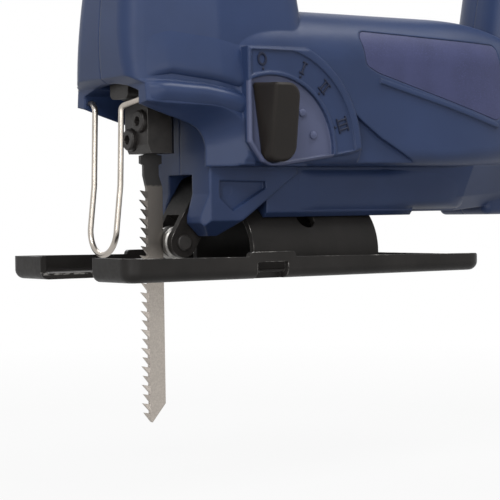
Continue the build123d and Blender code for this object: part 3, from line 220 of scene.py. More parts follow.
# Shader building blocks
class Shader:
    """One material's node tree, with short calls for the nodes that the finishes share."""

    def __init__(self, name):
        self.material = bpy.data.materials.new(name)
        self.material.use_nodes = True
        self.tree = self.material.node_tree
        self.tree.nodes.clear()
        self.output = self.tree.nodes.new("ShaderNodeOutputMaterial")
        self.surface = self.tree.nodes.new("ShaderNodeBsdfPrincipled")
        self.link(self.surface.outputs["BSDF"], self.output.inputs["Surface"])
        self.place = self.tree.nodes.new("ShaderNodeTexCoord").outputs["Object"]

    def link(self, source, target):
        self.tree.links.new(source, target)

    def set(self, **values):
        for name, value in values.items():
            socket = self.surface.inputs[name.replace("_", " ")]
            socket.default_value = (*value, 1.0) if isinstance(value, tuple) else value

    def stretched(self, stretch):
        """Places scaled along X, Y and Z."""
        mapping = self.tree.nodes.new("ShaderNodeMapping")
        mapping.inputs["Scale"].default_value = stretch
        self.link(self.place, mapping.inputs["Vector"])
        return mapping.outputs["Vector"]

    def noise(self, size_mm, detail=2.0, stretch=None, rough=0.5):
        node = self.tree.nodes.new("ShaderNodeTexNoise")
        node.inputs["Scale"].default_value = 1.0 / (size_mm * MM)
        node.inputs["Detail"].default_value = detail
        node.inputs["Roughness"].default_value = rough
        self.link(self.stretched(stretch) if stretch else self.place, node.inputs["Vector"])
        return node.outputs["Fac"]

    def cells(self, size_mm):
        node = self.tree.nodes.new("ShaderNodeTexVoronoi")
        node.inputs["Scale"].default_value = 1.0 / (size_mm * MM)
        self.link(self.place, node.inputs["Vector"])
        return node.outputs["Distance"]

    def waves(self, pitch_mm, direction, distortion=0.0):
        node = self.tree.nodes.new("ShaderNodeTexWave")
        node.bands_direction = direction
        node.inputs["Scale"].default_value = WAVE_BAND / (pitch_mm * MM)
        node.inputs["Distortion"].default_value = distortion
        self.link(self.place, node.inputs["Vector"])
        return node.outputs["Fac"]

    def coordinate(self, axis):
        """Place along one axis of the frame."""
        node = self.tree.nodes.new("ShaderNodeSeparateXYZ")
        self.link(self.place, node.inputs["Vector"])
        return node.outputs[axis]

    def spread(self, value, low, high, to_low=0.0, to_high=1.0):
        """Takes low to high over to to_low to to_high, and holds the ends."""
        node = self.tree.nodes.new("ShaderNodeMapRange")
        node.inputs["From Min"].default_value = low
        node.inputs["From Max"].default_value = high
        node.inputs["To Min"].default_value = to_low
        node.inputs["To Max"].default_value = to_high
        self.link(value, node.inputs["Value"])
        return node.outputs["Result"]

    def math(self, operation, *values, clamp=True):
        node = self.tree.nodes.new("ShaderNodeMath")
        node.operation = operation
        node.use_clamp = clamp
        for value, socket in zip(values, node.inputs):
            self.link(value, socket)
        return node.outputs["Value"]

    def times(self, a, b):
        return self.math("MULTIPLY", a, b)

    def plus(self, a, b):
        return self.math("ADD", a, b)

    def between(self, value, low_mm, high_mm, soft_mm=0.1):
        """1 from low to high, 0 outside."""
        above = self.spread(value, (low_mm - soft_mm) * MM, low_mm * MM)
        below = self.spread(value, (high_mm + soft_mm) * MM, high_mm * MM)
        return self.times(above, below)

    def beside(self):
        """Distance from the tool's middle plane."""
        return self.math("ABSOLUTE", self.coordinate("Y"), clamp=False)

    def within(self, x_mm, z_mm, radius_mm):
        """1 inside a circle seen along Y."""
        node = self.tree.nodes.new("ShaderNodeVectorMath")
        node.operation = "DISTANCE"
        self.link(self.stretched((1.0, 0.0, 1.0)), node.inputs[0])
        node.inputs[1].default_value = (x_mm * MM, 0.0, z_mm * MM)
        return self.spread(node.outputs["Value"], radius_mm * MM, (radius_mm - 0.1) * MM)

    def mix(self, share, first, second):
        """Blend of two colours. Of the node's many sockets, inputs 6 and 7 and output 2 are the colours."""
        node = self.tree.nodes.new("ShaderNodeMix")
        node.data_type = "RGBA"
        self.link(share, node.inputs["Factor"])
        for value, socket in ((first, node.inputs[6]), (second, node.inputs[7])):
            if isinstance(value, tuple):
                socket.default_value = (*value, 1.0)
            else:
                self.link(value, socket)
        return node.outputs[2]

    def rounded(self, radius_mm):
        """Normal with the edges rounded."""
        node = self.tree.nodes.new("ShaderNodeBevel")
        node.samples = 6
        node.inputs["Radius"].default_value = radius_mm * MM
        return node.outputs["Normal"]

    def edges(self, radius_mm, low=0.02, high=0.16):
        """1 near sharp edges, 0 on the flats."""
        flat = self.tree.nodes.new("ShaderNodeNewGeometry").outputs["Normal"]
        dot = self.tree.nodes.new("ShaderNodeVectorMath")
        dot.operation = "DOT_PRODUCT"
        self.link(self.rounded(radius_mm), dot.inputs[0])
        self.link(flat, dot.inputs[1])
        return self.spread(dot.outputs["Value"], 1.0 - low, 1.0 - high)

    def bump(self, height, depth_mm, strength=1.0, over=None):
        node = self.tree.nodes.new("ShaderNodeBump")
        node.inputs["Strength"].default_value = strength
        node.inputs["Distance"].default_value = depth_mm * MM
        self.link(height, node.inputs["Height"])
        if over is not None:
            self.link(over, node.inputs["Normal"])
        return node.outputs["Normal"]

    def finish(self, colour=None, roughness=None, metallic=None, normal=None):
        values = {"Base Color": colour, "Roughness": roughness, "Metallic": metallic, "Normal": normal}
        for name, value in values.items():
            if value is not None:
                self.link(value, self.surface.inputs[name])
        return self.material


def shade(colour, factor):
    return tuple(c * factor for c in colour)


# Finishes
def dial_plate(s):
    """1 on the floor of the dial's pocket, which is coloured a lighter violet as painted light."""
    near = s.spread(s.coordinate("Y"), (PLATE_Y_MM + 0.6) * MM, (PLATE_Y_MM + 0.4) * MM)
    return s.times(s.within(DIAL_X_MM, DIAL_Z_MM, PLATE_RADIUS_MM), near)


def moulded_plastic(
    name,
    colour,
    roughness,
    gloss=0.18,
    grain_mm=0.32,
    grain_depth_mm=0.02,
    round_mm=0.45,
    soft_mm=0.0,
    where=None,
    other=None,
):
    """Moulded plastic: fine grain, cloudy colour, edges rubbed lighter, another colour where asked, which on
    the dial plate is painted light.
    """
    s = Shader(name)
    s.set(Specular_IOR_Level=gloss)
    cloud = s.spread(s.noise(26.0, detail=4.0), 0.35, 0.65)
    grain = s.noise(grain_mm, detail=3.0, rough=0.6)
    base = s.mix(cloud, shade(colour, 0.90), shade(colour, 1.10))
    if where:
        base = s.mix(where(s), base, other)
    rubbed = s.times(s.edges(round_mm), s.spread(s.noise(3.0), 0.35, 0.7, 0.15, 0.55))
    base = s.mix(rubbed, base, shade(colour, 1.9))
    rough = s.spread(grain, 0.3, 0.7, roughness - 0.05, roughness + 0.07)
    normal = s.bump(grain, grain_depth_mm, over=s.rounded(max(round_mm, soft_mm)))
    return s.finish(colour=base, roughness=rough, normal=normal)


def trim_panel(name):
    """Violet-grey trim with a finer, sparkling grain."""
    s = Shader(name)
    s.set(Specular_IOR_Level=0.2)
    fleck = s.spread(s.noise(0.22, detail=1.0), 0.56, 0.74)
    cloud = s.spread(s.noise(9.0, detail=5.0), 0.3, 0.7)
    base = s.mix(cloud, shade(VIOLET, 0.88), shade(VIOLET, 1.12))
    base = s.mix(fleck, base, shade(VIOLET, 1.7))
    rough = s.spread(s.noise(0.5), 0.3, 0.7, 0.36, 0.50)
    normal = s.bump(s.noise(0.20, detail=3.0), 0.03, over=s.rounded(0.3))
    return s.finish(colour=base, roughness=rough, normal=normal)


def rubbed_throat(s):
    """1 at the upper edge of the base plate's throat, where the paint is rubbed through."""
    from_middle, up, along = THROAT_WEAR_MM
    side = s.between(s.beside(), *from_middle, soft_mm=0.2)
    level = s.between(s.coordinate("Z"), *up, soft_mm=0.2)
    front = s.between(s.coordinate("X"), *along, soft_mm=2.0)
    return s.times(s.times(side, level), front)


def chipped_slot(s):
    """1 round the slot in each flange of the base plate."""
    from_middle, up, along = SLOT_WEAR_MM
    side = s.between(s.beside(), *from_middle)
    level = s.between(s.coordinate("Z"), *up)
    stretch = s.between(s.coordinate("X"), *along)
    return s.times(s.times(side, level), stretch)


def painted_steel(name):
    """Black satin paint with a little orange peel, worn to bright metal at some edges."""
    s = Shader(name)
    s.set(Specular_IOR_Level=0.14)
    edge = s.edges(0.35, low=0.05, high=0.22)
    patchy = s.spread(s.noise(5.0, detail=4.0), 0.50, 0.62)
    worn = s.times(edge, patchy)
    flaking = s.spread(s.noise(1.1, detail=4.0, stretch=(0.7, 1.0, 1.0)), 0.42, 0.58, 0.0, 0.8)
    worn = s.plus(worn, s.times(rubbed_throat(s), flaking))
    worn = s.plus(worn, s.times(s.times(chipped_slot(s), s.edges(0.5)), flaking))
    tone = s.spread(s.noise(14.0, detail=5.0), 0.3, 0.7)
    coat = s.mix(tone, shade(PAINT_BLACK, 0.8), shade(PAINT_BLACK, 1.35))
    base = s.mix(worn, coat, shade(BRIGHT_STEEL, 0.45))
    rough = s.spread(s.noise(1.2, detail=3.0), 0.3, 0.7, 0.33, 0.48)
    normal = s.bump(s.noise(0.9, detail=2.0), 0.018, over=s.rounded(0.4))
    return s.finish(colour=base, roughness=rough, metallic=worn, normal=normal)


def ground_steel(name, colour, roughness, stretch, line_mm=0.12, depth_mm=0.006, round_mm=0.15):
    """Bare steel with fine grinding or drawing lines along the stretched axis."""
    s = Shader(name)
    s.set(Metallic=1.0)
    lines = s.noise(line_mm, detail=3.0, stretch=stretch)
    stain = s.spread(s.noise(7.0, detail=5.0), 0.3, 0.7)
    base = s.mix(stain, shade(colour, 0.82), shade(colour, 1.08))
    rough = s.spread(lines, 0.3, 0.7, roughness - 0.07, roughness + 0.09)
    normal = s.bump(lines, depth_mm, over=s.rounded(round_mm))
    return s.finish(colour=base, roughness=rough, normal=normal)


def turned_steel(name, colour, roughness):
    """Lathe-turned steel: rings round the Y axis and a thin oily film."""
    s = Shader(name)
    s.set(Metallic=1.0)
    rings = s.noise(0.10, detail=2.0, stretch=(0.06, 1.0, 0.06))
    film = s.spread(s.noise(2.5, detail=4.0), 0.35, 0.65)
    base = s.mix(film, shade(colour, 0.72), shade(colour, 1.05))
    rough = s.spread(film, 0.0, 1.0, roughness + 0.10, roughness - 0.06)
    normal = s.bump(rings, 0.008, over=s.rounded(0.25))
    return s.finish(colour=base, roughness=rough, normal=normal)


def blackened_steel(name, colour, wear, gloss, shade_above_mm=ABOVE_ALL_MM):
    """Oil-blackened steel, faintly brown, rubbed bright along its edges, with painted shade above a height
    that darkens it nearly to black.
    """
    s = Shader(name)
    s.set(Specular_IOR_Level=gloss)
    edge = s.edges(0.30, low=0.04, high=0.20)
    worn = s.times(edge, s.spread(s.noise(1.6, detail=3.0), 0.35, 0.7, 0.1 * wear, 0.75 * wear))
    tone = s.spread(s.noise(3.5, detail=5.0), 0.3, 0.7)
    film = s.mix(tone, shade(colour, 0.75), shade(colour, 1.5))
    # Painted shade: above the height the steel goes nearly black and its rubbed edges fade
    painted_shade = s.spread(s.coordinate("Z"), (shade_above_mm - 5.0) * MM, shade_above_mm * MM)
    film = s.mix(painted_shade, film, shade(colour, 0.1))
    worn = s.times(worn, s.spread(painted_shade, 0.0, 1.0, 1.0, 0.1))
    base = s.mix(worn, film, shade(BRIGHT_STEEL, 0.35))
    metal = s.spread(worn, 0.0, 1.0, 0.05, 1.0)
    rough = s.spread(s.noise(0.5, detail=3.0), 0.3, 0.7, 0.34, 0.50)
    normal = s.bump(s.noise(0.35, detail=3.0), 0.012, over=s.rounded(0.3))
    return s.finish(colour=base, roughness=rough, metallic=metal, normal=normal)


def saw_steel(name):
    """Ground blade: lengthwise grinding lines, darkened above the sole by painted shade and a painted dark
    reflection of the hood, the shank blued dark.
    """
    s = Shader(name)
    lines = s.noise(0.10, detail=3.0, stretch=(1.0, 1.0, 0.05))
    speck = s.spread(s.noise(0.5, detail=4.0), 0.35, 0.7)
    steel = s.mix(speck, shade(GROUND_STEEL, 0.86), shade(GROUND_STEEL, 1.08))
    ragged = s.spread(s.noise(1.2, detail=4.0), 0.0, 1.0, -SHANK_RAGGED_MM * MM, SHANK_RAGGED_MM * MM)
    level = s.math("ADD", s.coordinate("Z"), ragged, clamp=False)
    # Painted shade: above the sole the blade is darkened, for the hood's shade and its dark reflection
    hood_shade = s.spread(level, HOOD_SHADE_Z_MM[0] * MM, HOOD_SHADE_Z_MM[1] * MM)
    steel = s.mix(hood_shade, steel, shade(GROUND_STEEL, 0.34))
    shank = s.spread(level, SHANK_Z_MM[0] * MM, SHANK_Z_MM[1] * MM)
    base = s.mix(shank, steel, shade(OXIDE, 0.7))
    metal = s.spread(shank, 0.0, 1.0, 1.0, 0.2)
    rough = s.spread(lines, 0.3, 0.7, 0.36, 0.52)
    normal = s.bump(lines, 0.006, over=s.rounded(0.12))
    return s.finish(colour=base, roughness=rough, metallic=metal, normal=normal)


def soft_rubber(name):
    """Black over-moulded rubber with a dull, pitted skin."""
    s = Shader(name)
    s.set(Specular_IOR_Level=0.15, Sheen_Weight=0.05, Sheen_Roughness=0.5)
    pits = s.cells(0.45)
    tone = s.spread(s.noise(12.0, detail=4.0), 0.3, 0.7)
    base = s.mix(tone, shade(RUBBER_BLACK, 0.85), shade(RUBBER_BLACK, 1.25))
    rough = s.spread(s.noise(0.8), 0.3, 0.7, 0.58, 0.72)
    normal = s.bump(pits, 0.02, over=s.rounded(0.6))
    return s.finish(colour=base, roughness=rough, normal=normal)


def wound_copper(name):
    """Enamelled windings: fine parallel wires with darker varnish between them."""
    s = Shader(name)
    s.set(Metallic=0.85)
    wires = s.waves(0.7, "X", distortion=0.6)
    base = s.mix(wires, shade(COPPER, 0.35), COPPER)
    rough = s.spread(s.noise(1.0), 0.3, 0.7, 0.28, 0.42)
    return s.finish(colour=base, roughness=rough, normal=s.bump(wires, 0.12))


def stacked_sheets(name):
    """Laminated iron: thin sheets stacked along the shaft."""
    s = Shader(name)
    s.set(Metallic=0.8)
    layers = s.waves(0.5, "X")
    base = s.mix(layers, shade(LAMINATION, 0.6), LAMINATION)
    rough = s.spread(s.noise(2.0), 0.3, 0.7, 0.45, 0.6)
    return s.finish(colour=base, roughness=rough, normal=s.bump(layers, 0.05, over=s.rounded(0.3)))


def cast_metal(name, colour, roughness):
    """Die-cast or sintered metal with a fine skin."""
    s = Shader(name)
    s.set(Metallic=1.0)
    skin = s.noise(0.4, detail=3.0)
    base = s.mix(s.spread(s.noise(6.0), 0.3, 0.7), shade(colour, 0.85), shade(colour, 1.05))
    rough = s.spread(skin, 0.3, 0.7, roughness - 0.06, roughness + 0.08)
    return s.finish(colour=base, roughness=rough, normal=s.bump(skin, 0.02, over=s.rounded(0.35)))


ALONG_Z = (1.0, 1.0, 0.04)
ALONG_X = (0.04, 1.0, 1.0)
# The floor of the dial's pocket gets painted light: a lighter violet in the navy plastic
navy = moulded_plastic(
    "navy_plastic", NAVY, 0.38, gloss=0.22, soft_mm=1.1, where=dial_plate, other=DIAL_PAINTED_LIGHT
)
# Numerals and pips: navy relief coloured dark as painted shade
numeral_shade_finish = moulded_plastic("navy_relief_painted_shade", NUMERAL_PAINTED_SHADE, 0.50, round_mm=0.15)
# The detents take the dial plate's painted light
detent = moulded_plastic("dial_plate_relief", DIAL_PAINTED_LIGHT, 0.42, round_mm=0.2)
black_plastic = moulded_plastic(
    "black_plastic", BROWN_BLACK, 0.44, gloss=0.18, grain_mm=0.26, grain_depth_mm=0.028, round_mm=0.7
)
fan_plastic = moulded_plastic("fan_plastic", FAN_GREY, 0.5)
carbon = moulded_plastic("carbon_block", CARBON, 0.55)
panel = trim_panel("violet_trim")
paint = painted_steel("black_paint")
rubber = soft_rubber("grip_rubber")
oxide = blackened_steel("blackened_steel", OXIDE, 1.0, 0.26)
# Very dark, nearly matt blackened steel for the base saddle and the nut plate
dark_dull_steel = blackened_steel("very_dark_dull_steel", shade(OXIDE, 0.35), 0.5, 0.05)
# The fork's upper part gets painted shade, for the dark inside of the housing's window
scale = blackened_steel("forge_scale_and_painted_shade", shade(OXIDE, 0.8), 1.2, 0.06, shade_above_mm=25.0)
blade = saw_steel("blade_steel")
wire = ground_steel("drawn_wire", WIRE_STEEL, 0.31, ALONG_Z, line_mm=0.2)
rod_steel = ground_steel("ground_rod", BRIGHT_STEEL, 0.25, ALONG_Z)
shaft_steel = ground_steel("ground_shaft", BRIGHT_STEEL, 0.28, ALONG_X)
roller = turned_steel("turned_steel", shade(BRIGHT_STEEL, 0.40), 0.44)
bronze = cast_metal("sintered_bronze", BRONZE, 0.40)
aluminium = cast_metal("cast_aluminium", CAST_ALUMINIUM, 0.42)
copper = wound_copper("wound_copper")
sheets = stacked_sheets("laminations")

NODE_FINISH = {
    navy: ("housing_left", "housing_right"),
    panel: ("side_panel_left", "side_panel_right"),
    rubber: ("grip_sleeve", "cord_gland"),
    black_plastic: ("selector_knob", "trigger", "lock_button", "switch_body"),
    fan_plastic: ("fan",),
    carbon: ("carbon_brushes",),
    paint: ("base_plate", "tilt_bracket"),
    oxide: (
        "blade_clamp", "clamp_screws", "housing_screws", "base_screw",
        "plunger_guide", "roller_pin", "selector_shaft",
    ),
    dark_dull_steel: ("base_saddle", "nut_plate"),
    scale: ("roller_fork",),
    blade: ("saw_blade",),
    wire: ("wire_guard",),
    rod_steel: ("plunger_rod",),
    shaft_steel: ("armature_shaft", "gear_axle", "crank_pin", "drive_gear", "front_bearing", "rear_bearing"),
    roller: ("guide_roller", "lever_pin", "bracket_rivets"),
    bronze: ("guide_bushes", "gear_bush", "brush_holders"),
    aluminium: ("gear_plate",),
    copper: ("field_coils", "armature_coils", "commutator"),
    sheets: ("stator_core", "armature_core"),
}
for finish, names in NODE_FINISH.items():
    for name in names:
        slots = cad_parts[name].data.materials
        slots.clear()
        slots.append(finish)


# Building blocks of the new pieces
def new_piece(name, mesh_builder, finish, body):
    """Fills a new mesh with mesh_builder(bm) and hangs it on a body."""
    mesh = bpy.data.meshes.new(name)
    bm = bmesh.new()
    mesh_builder(bm)
    bmesh.ops.recalc_face_normals(bm, faces=bm.faces)
    bm.to_mesh(mesh)
    bm.free()
    mesh.shade_smooth()
    mesh.set_sharp_from_angle(angle=SMOOTH_BELOW)
    mesh.materials.append(finish)
    piece = bpy.data.objects.new(name, mesh)
    bpy.context.scene.collection.objects.link(piece)
    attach(piece, body)
    return piece


def join_rings(bm, rings, closed=False):
    """Quads between rings of corners, whose ends are filled or, when closed, joined to each other."""
    pairs = list(zip(rings, rings[1:]))
    if closed:
        pairs.append((rings[-1], rings[0]))
    else:
        bm.faces.new(rings[0][::-1])
        bm.faces.new(rings[-1])
    for low, high in pairs:
        for i in range(len(low)):
            j = (i + 1) % len(low)
            bm.faces.new((low[i], low[j], high[j], high[i]))


def add_bar(bm, centre, along, across, out, length, width, height):
    """A bar with bevelled top edges: centre is on the ground face, out points away from it."""
    top_shrink = 0.25 * min(width, height * 2)
    rings = []
    for level, shrink in ((-height * 0.3, 0.0), (height * 0.6, 0.0), (height, top_shrink)):
        ring = []
        for a, b in ((-1, -1), (1, -1), (1, 1), (-1, 1)):
            aside = along * a * (length / 2 - shrink) + across * b * (width / 2 - shrink)
            ring.append(bm.verts.new(centre + aside + out * level))
        rings.append(ring)
    join_rings(bm, rings)


def add_turned(bm, centre, along, across, out, profile, stretch=1.0, closed=False, steps=40):
    """A profile of (radius, height) turned about out; stretch lengthens it along, closed joins its ends."""
    rings = []
    for radius, level in profile:
        ring = []
        for i in range(steps):
            a = 2 * math.pi * i / steps
            place = along * math.cos(a) * radius * stretch + across * math.sin(a) * radius + out * level
            ring.append(bm.verts.new(centre + place))
        rings.append(ring)
    join_rings(bm, rings, closed)


def add_skin(bm, rings_mm):
    """A closed skin over rings of points."""
    join_rings(bm, [[bm.verts.new(Vector(point) * MM) for point in ring] for ring in rings_mm])


def surface_tree(node):
    """Search tree of a CAD node's skin, for laying pieces on it."""
    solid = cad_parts[node]
    corners = [solid.matrix_world @ v.co for v in solid.data.vertices]
    return BVHTree.FromPolygons(corners, [tuple(face.vertices) for face in solid.data.polygons])


def beside_skin(tree, side, x, z):
    """Distance in mm of the skin from the middle plane."""
    hit = tree.ray_cast(Vector((x, side * OUTSIDE_MM, z)) * MM, Vector((0.0, -side, 0.0)))[0]
    return abs(hit.y) / MM


def in_metres(profile_mm):
    return [(radius * MM, level * MM) for radius, level in profile_mm]


# The new pieces
LEFT = Vector((0.0, -1.0, 0.0))
GRIP_ALONG = Vector((GRIP_DIRECTION[0], 0.0, GRIP_DIRECTION[1]))
GRIP_UP = Vector((-GRIP_DIRECTION[1], 0.0, GRIP_DIRECTION[0]))


def on_dial(radius_mm, angle, y_mm):
    """Place on the dial, with the directions away from its centre and round it."""
    a = math.radians(angle)
    away = Vector((math.cos(a), 0.0, math.sin(a)))
    centre = Vector((DIAL_X_MM, y_mm, DIAL_Z_MM)) * MM
    return centre + away * radius_mm * MM, away, Vector((-math.sin(a), 0.0, math.cos(a)))


def dial_numerals(bm):
    """Raised 0, I, II and III, each pointing away from the dial's centre."""
    stroke = NUMERAL_STROKE_MM * MM
    rise = NUMERAL_RISE_MM * MM
    length = NUMERAL_HEIGHT_MM * MM
    pitch = NUMERAL_PITCH_MM * MM
    for label, angle in SETTING_ANGLES.items():
        centre, away, round_dial = on_dial(NUMERAL_RADIUS_MM, angle, BAND_Y_MM)
        if label == "0":
            wide = ZERO_RADIUS_MM * MM
            tube = [(wide - stroke, -0.2 * rise), (wide, -0.2 * rise), (wide, 0.8 * rise)]
            tube += [(wide - 0.3 * stroke, rise), (wide - 0.7 * stroke, rise), (wide - stroke, 0.8 * rise)]
            add_turned(bm, centre, away, round_dial, LEFT, tube, stretch=ZERO_STRETCH, closed=True)
            continue
        count = len(label)
        for i in range(count):
            shift = round_dial * pitch * (i - (count - 1) / 2)
            add_bar(bm, centre + shift, away, round_dial, LEFT, length, stroke, rise)
        serif = pitch * (count - 1) + 3.2 * stroke
        for end in (-1, 1):
            foot = centre + away * end * (length - stroke) / 2
            add_bar(bm, foot, round_dial, away, LEFT, serif, 0.9 * stroke, rise * 0.96)


def dial_marks(bm):
    """A small pip inside each numeral."""
    for angle in SETTING_ANGLES.values():
        centre, away, round_dial = on_dial(NUMERAL_RADIUS_MM - PIP_INSET_MM, angle, BAND_Y_MM)
        add_turned(bm, centre, away, round_dial, LEFT, in_metres(PIP_PROFILE_MM), steps=20)


def dial_detents(bm):
    """Low bumps that the lever clicks over, one for each setting."""
    for angle in SETTING_ANGLES.values():
        centre, away, round_dial = on_dial(DETENT_RADIUS_MM, angle, PLATE_Y_MM)
        add_turned(bm, centre, away, round_dial, LEFT, in_metres(DETENT_PROFILE_MM))


def on_grip(along_mm, up_mm, y_mm):
    """Place beside the grip's middle line."""
    gx, gz = GRIP_DIRECTION
    x = GRIP_START_MM[0] + along_mm * gx - up_mm * gz
    z = GRIP_START_MM[1] + along_mm * gz + up_mm * gx
    return Vector((x, y_mm, z)) * MM


def grip_ribs(bm):
    """Upright ribs on both flanks of the sleeve, left out round the lock-on button."""
    length, width, height = (size * MM for size in RIB_SIZE_MM)
    for side in (-1, 1):
        for i in range(RIB_COUNT):
            along = RIB_FIRST_MM + i * RIB_PITCH_MM
            if side < 0 and abs(along - BUTTON_ALONG_MM) < BUTTON_CLEAR_MM:
                continue
            centre = on_grip(along, 0.0, side * (GRIP_HALF_WIDTH_MM - RIB_SINK_MM))
            out = Vector((0.0, side, 0.0))
            add_bar(bm, centre, GRIP_UP, GRIP_ALONG, out, length, width, height)


def button_ring(bm):
    """Raised ring on the lock-on button."""
    centre = on_grip(BUTTON_ALONG_MM, BUTTON_UP_MM, BUTTON_FACE_Y_MM)
    add_turned(bm, centre, GRIP_ALONG, GRIP_UP, LEFT, in_metres(RING_PROFILE_MM), closed=True)


def trigger_ridges(bm):
    """Cross ridges where the finger pulls."""
    length, width, height = (size * MM for size in RIDGE_SIZE_MM)
    start = Vector(RIDGE_START_MM)
    end = Vector(RIDGE_END_MM)
    run = (end - start).normalized()
    along = GRIP_ALONG * run.x + GRIP_UP * run.y
    out = GRIP_ALONG * run.y - GRIP_UP * run.x
    across = Vector((0.0, 1.0, 0.0))
    for share in RIDGE_SHARES:
        spot = start.lerp(end, share)
        add_bar(bm, on_grip(spot.x, spot.y, 0.0), across, along, out, length, width, height)


def bent_path(corners, bend, steps=7):
    """Corners of a path, each but the ends rounded to a bend."""
    path = [Vector(corners[0])]
    for before, corner, after in zip(corners, corners[1:], corners[2:]):
        corner = Vector(corner)
        into = (corner - Vector(before)).normalized()
        out = (Vector(after) - corner).normalized()
        reach = bend * math.tan(into.angle(out) / 2)
        first, last = corner - into * reach, corner + out * reach
        for i in range(steps + 1):
            share = i / steps
            path.append(first.lerp(corner, share).lerp(corner.lerp(last, share), share))
    return path + [Vector(corners[-1])]


def guard_wire(bm):
    """One bent wire: eye, leg, round foot, leg, eye."""
    near = bent_path(WIRE_HALF_MM, WIRE_BEND_MM)
    foot_x, half, top = WIRE_HALF_MM[-1]
    half = abs(half)
    foot = []
    for i in range(1, WIRE_FOOT_STEPS):
        a = math.pi * i / WIRE_FOOT_STEPS
        sink = math.sin(a)
        foot.append(Vector((
            foot_x + (WIRE_FOOT_MM[0] - foot_x) * sink,
            -half * math.cos(a),
            top + (WIRE_FOOT_MM[2] - top) * sink,
        )))
    far = [Vector((point.x, -point.y, point.z)) for point in reversed(near)]
    path = near + foot + far
    turns = [2 * math.pi * k / WIRE_SIDES for k in range(WIRE_SIDES)]
    rings = []
    side = Vector((0.0, 0.0, 1.0))
    for i, point in enumerate(path):
        run = (path[min(i + 1, len(path) - 1)] - path[max(i - 1, 0)]).normalized()
        side = (side - run * side.dot(run)).normalized()
        other = run.cross(side)
        rings.append([point + (side * math.cos(a) + other * math.sin(a)) * WIRE_RADIUS_MM for a in turns])
    add_skin(bm, rings)


def round_outline(corners, inset, steps=9):
    """Points (x, z) round a polygon with rounded corners, moved inwards by inset."""
    points = []
    count = len(corners)
    for i in range(count):
        corner = Vector(corners[i][:2])
        into = (corner - Vector(corners[i - 1][:2])).normalized()
        out = (Vector(corners[(i + 1) % count][:2]) - corner).normalized()
        radius = corners[i][2]
        reach = radius * math.tan(into.angle(out) / 2)
        centre = corner - into * reach + Vector((-into.y, into.x)) * radius
        start = corner - into * reach - centre
        turn = into.angle(out)
        for k in range(steps):
            a = turn * k / (steps - 1)
            spoke = Vector((
                start.x * math.cos(a) - start.y * math.sin(a),
                start.x * math.sin(a) + start.y * math.cos(a),
            ))
            points.append(centre + spoke.normalized() * (radius - inset))
    return points


def selector_lever(bm):
    """Lever with a sloping crest, its outline and its crest's edge rounded."""

    def crest_y(z):
        return LEVER_TIP_Y_MM + (LEVER_CREST_MM[0][1] - z) * LEVER_SLOPE

    root = [Vector((x, LEVER_ROOT_Y_MM, z)) for x, z in round_outline(LEVER_ROOT_MM, 0.0)]
    shoulder = [Vector((x, crest_y(z) + LEVER_ROUND_MM, z)) for x, z in round_outline(LEVER_CREST_MM, 0.0)]
    rings = [root]
    for share in (0.35, 0.7):
        rings.append([low.lerp(high, share) for low, high in zip(root, shoulder)])
    for step in range(LEVER_ROUND_STEPS + 1):
        a = math.pi / 2 * step / LEVER_ROUND_STEPS
        level = LEVER_ROUND_MM * (1 - math.sin(a))
        inset = min(LEVER_ROUND_MM * (1 - math.cos(a)), LEVER_INSET_LIMIT_MM)
        rings.append([(x, crest_y(z) + level, z) for x, z in round_outline(LEVER_CREST_MM, inset)])
    add_skin(bm, rings)


def on_line(line, x):
    """Height of a line of (x, z) points at x."""
    for (x0, z0), (x1, z1) in zip(line, line[1:]):
        if x <= x1:
            return z0 + (z1 - z0) * (x - x0) / (x1 - x0)
    return line[-1][1]


def hood_band(line, profile, fade_mm):
    """Builder of a band on both sides of the hood: the profile laid on the housing along the line."""

    def build(bm):
        for side, node in ((-1, "housing_left"), (1, "housing_right")):
            tree = surface_tree(node)
            rings = []
            for i in range(HOOD_STEPS + 1):
                x = HOOD_FRONT_MM + (HOOD_REAR_MM - HOOD_FRONT_MM) * i / HOOD_STEPS
                grow = min(1.0, (x - HOOD_FRONT_MM) / fade_mm)
                outer, inner = [], []
                for up, out in profile:
                    z = on_line(line, x) + up
                    y = beside_skin(tree, side, x, z)
                    outer.append((x, side * (y + out * grow - FADE_SINK_MM * (1 - grow)), z))
                    inner.append((x, side * (y - HOOD_SINK_MM), z))
                rings.append(outer + inner[::-1])
            rings.append([(x + HOOD_TAIL_MM, y, z) for x, y, z in rings[-1]])
            add_skin(bm, rings)

    return build


def evenly(ends, steps):
    """Places from one end to the other."""
    return [ends[0] + (ends[1] - ends[0]) * i / steps for i in range(steps + 1)]


def smoothed(grid):
    """Each value of a grid replaced by the mean of its four neighbours."""
    last_row, last_column = len(grid) - 1, len(grid[0]) - 1
    means = []
    for i, row in enumerate(grid):
        above, below = grid[max(i - 1, 0)], grid[min(i + 1, last_row)]
        mean = []
        for k in range(len(row)):
            mean.append((above[k] + below[k] + row[max(k - 1, 0)] + row[min(k + 1, last_column)]) / 4)
        means.append(mean)
    return means


def keel_flank(bm):
    """Softly rounded left flank of the keel, which blends its flat and flared stretches."""
    xs = evenly(KEEL_X_MM, KEEL_STEPS_X)
    zs = evenly(KEEL_Z_MM, KEEL_STEPS_Z)
    tree = surface_tree("housing_left")
    under = [[beside_skin(tree, -1, x, z) for z in zs] for x in xs]
    soft = under
    for _ in range(KEEL_BLUR):
        soft = smoothed(soft)
    rings = []
    for i, x in enumerate(xs):
        outer, inner = [], []
        for k, z in enumerate(zs):
            from_ends = min(i, KEEL_STEPS_X - i) / KEEL_EDGE_X
            from_edges = min(k, KEEL_STEPS_Z - k) / KEEL_EDGE_Z
            rise = min(1.0, from_ends, from_edges)
            proud = soft[i][k] - under[i][k] + KEEL_RISE_MM
            y = under[i][k] + proud * rise - KEEL_EDGE_SINK_MM * (1 - rise)
            outer.append((x, -y, z))
            inner.append((x, HOOD_SINK_MM - under[i][k], z))
        rings.append(outer + inner[::-1])
    add_skin(bm, rings)


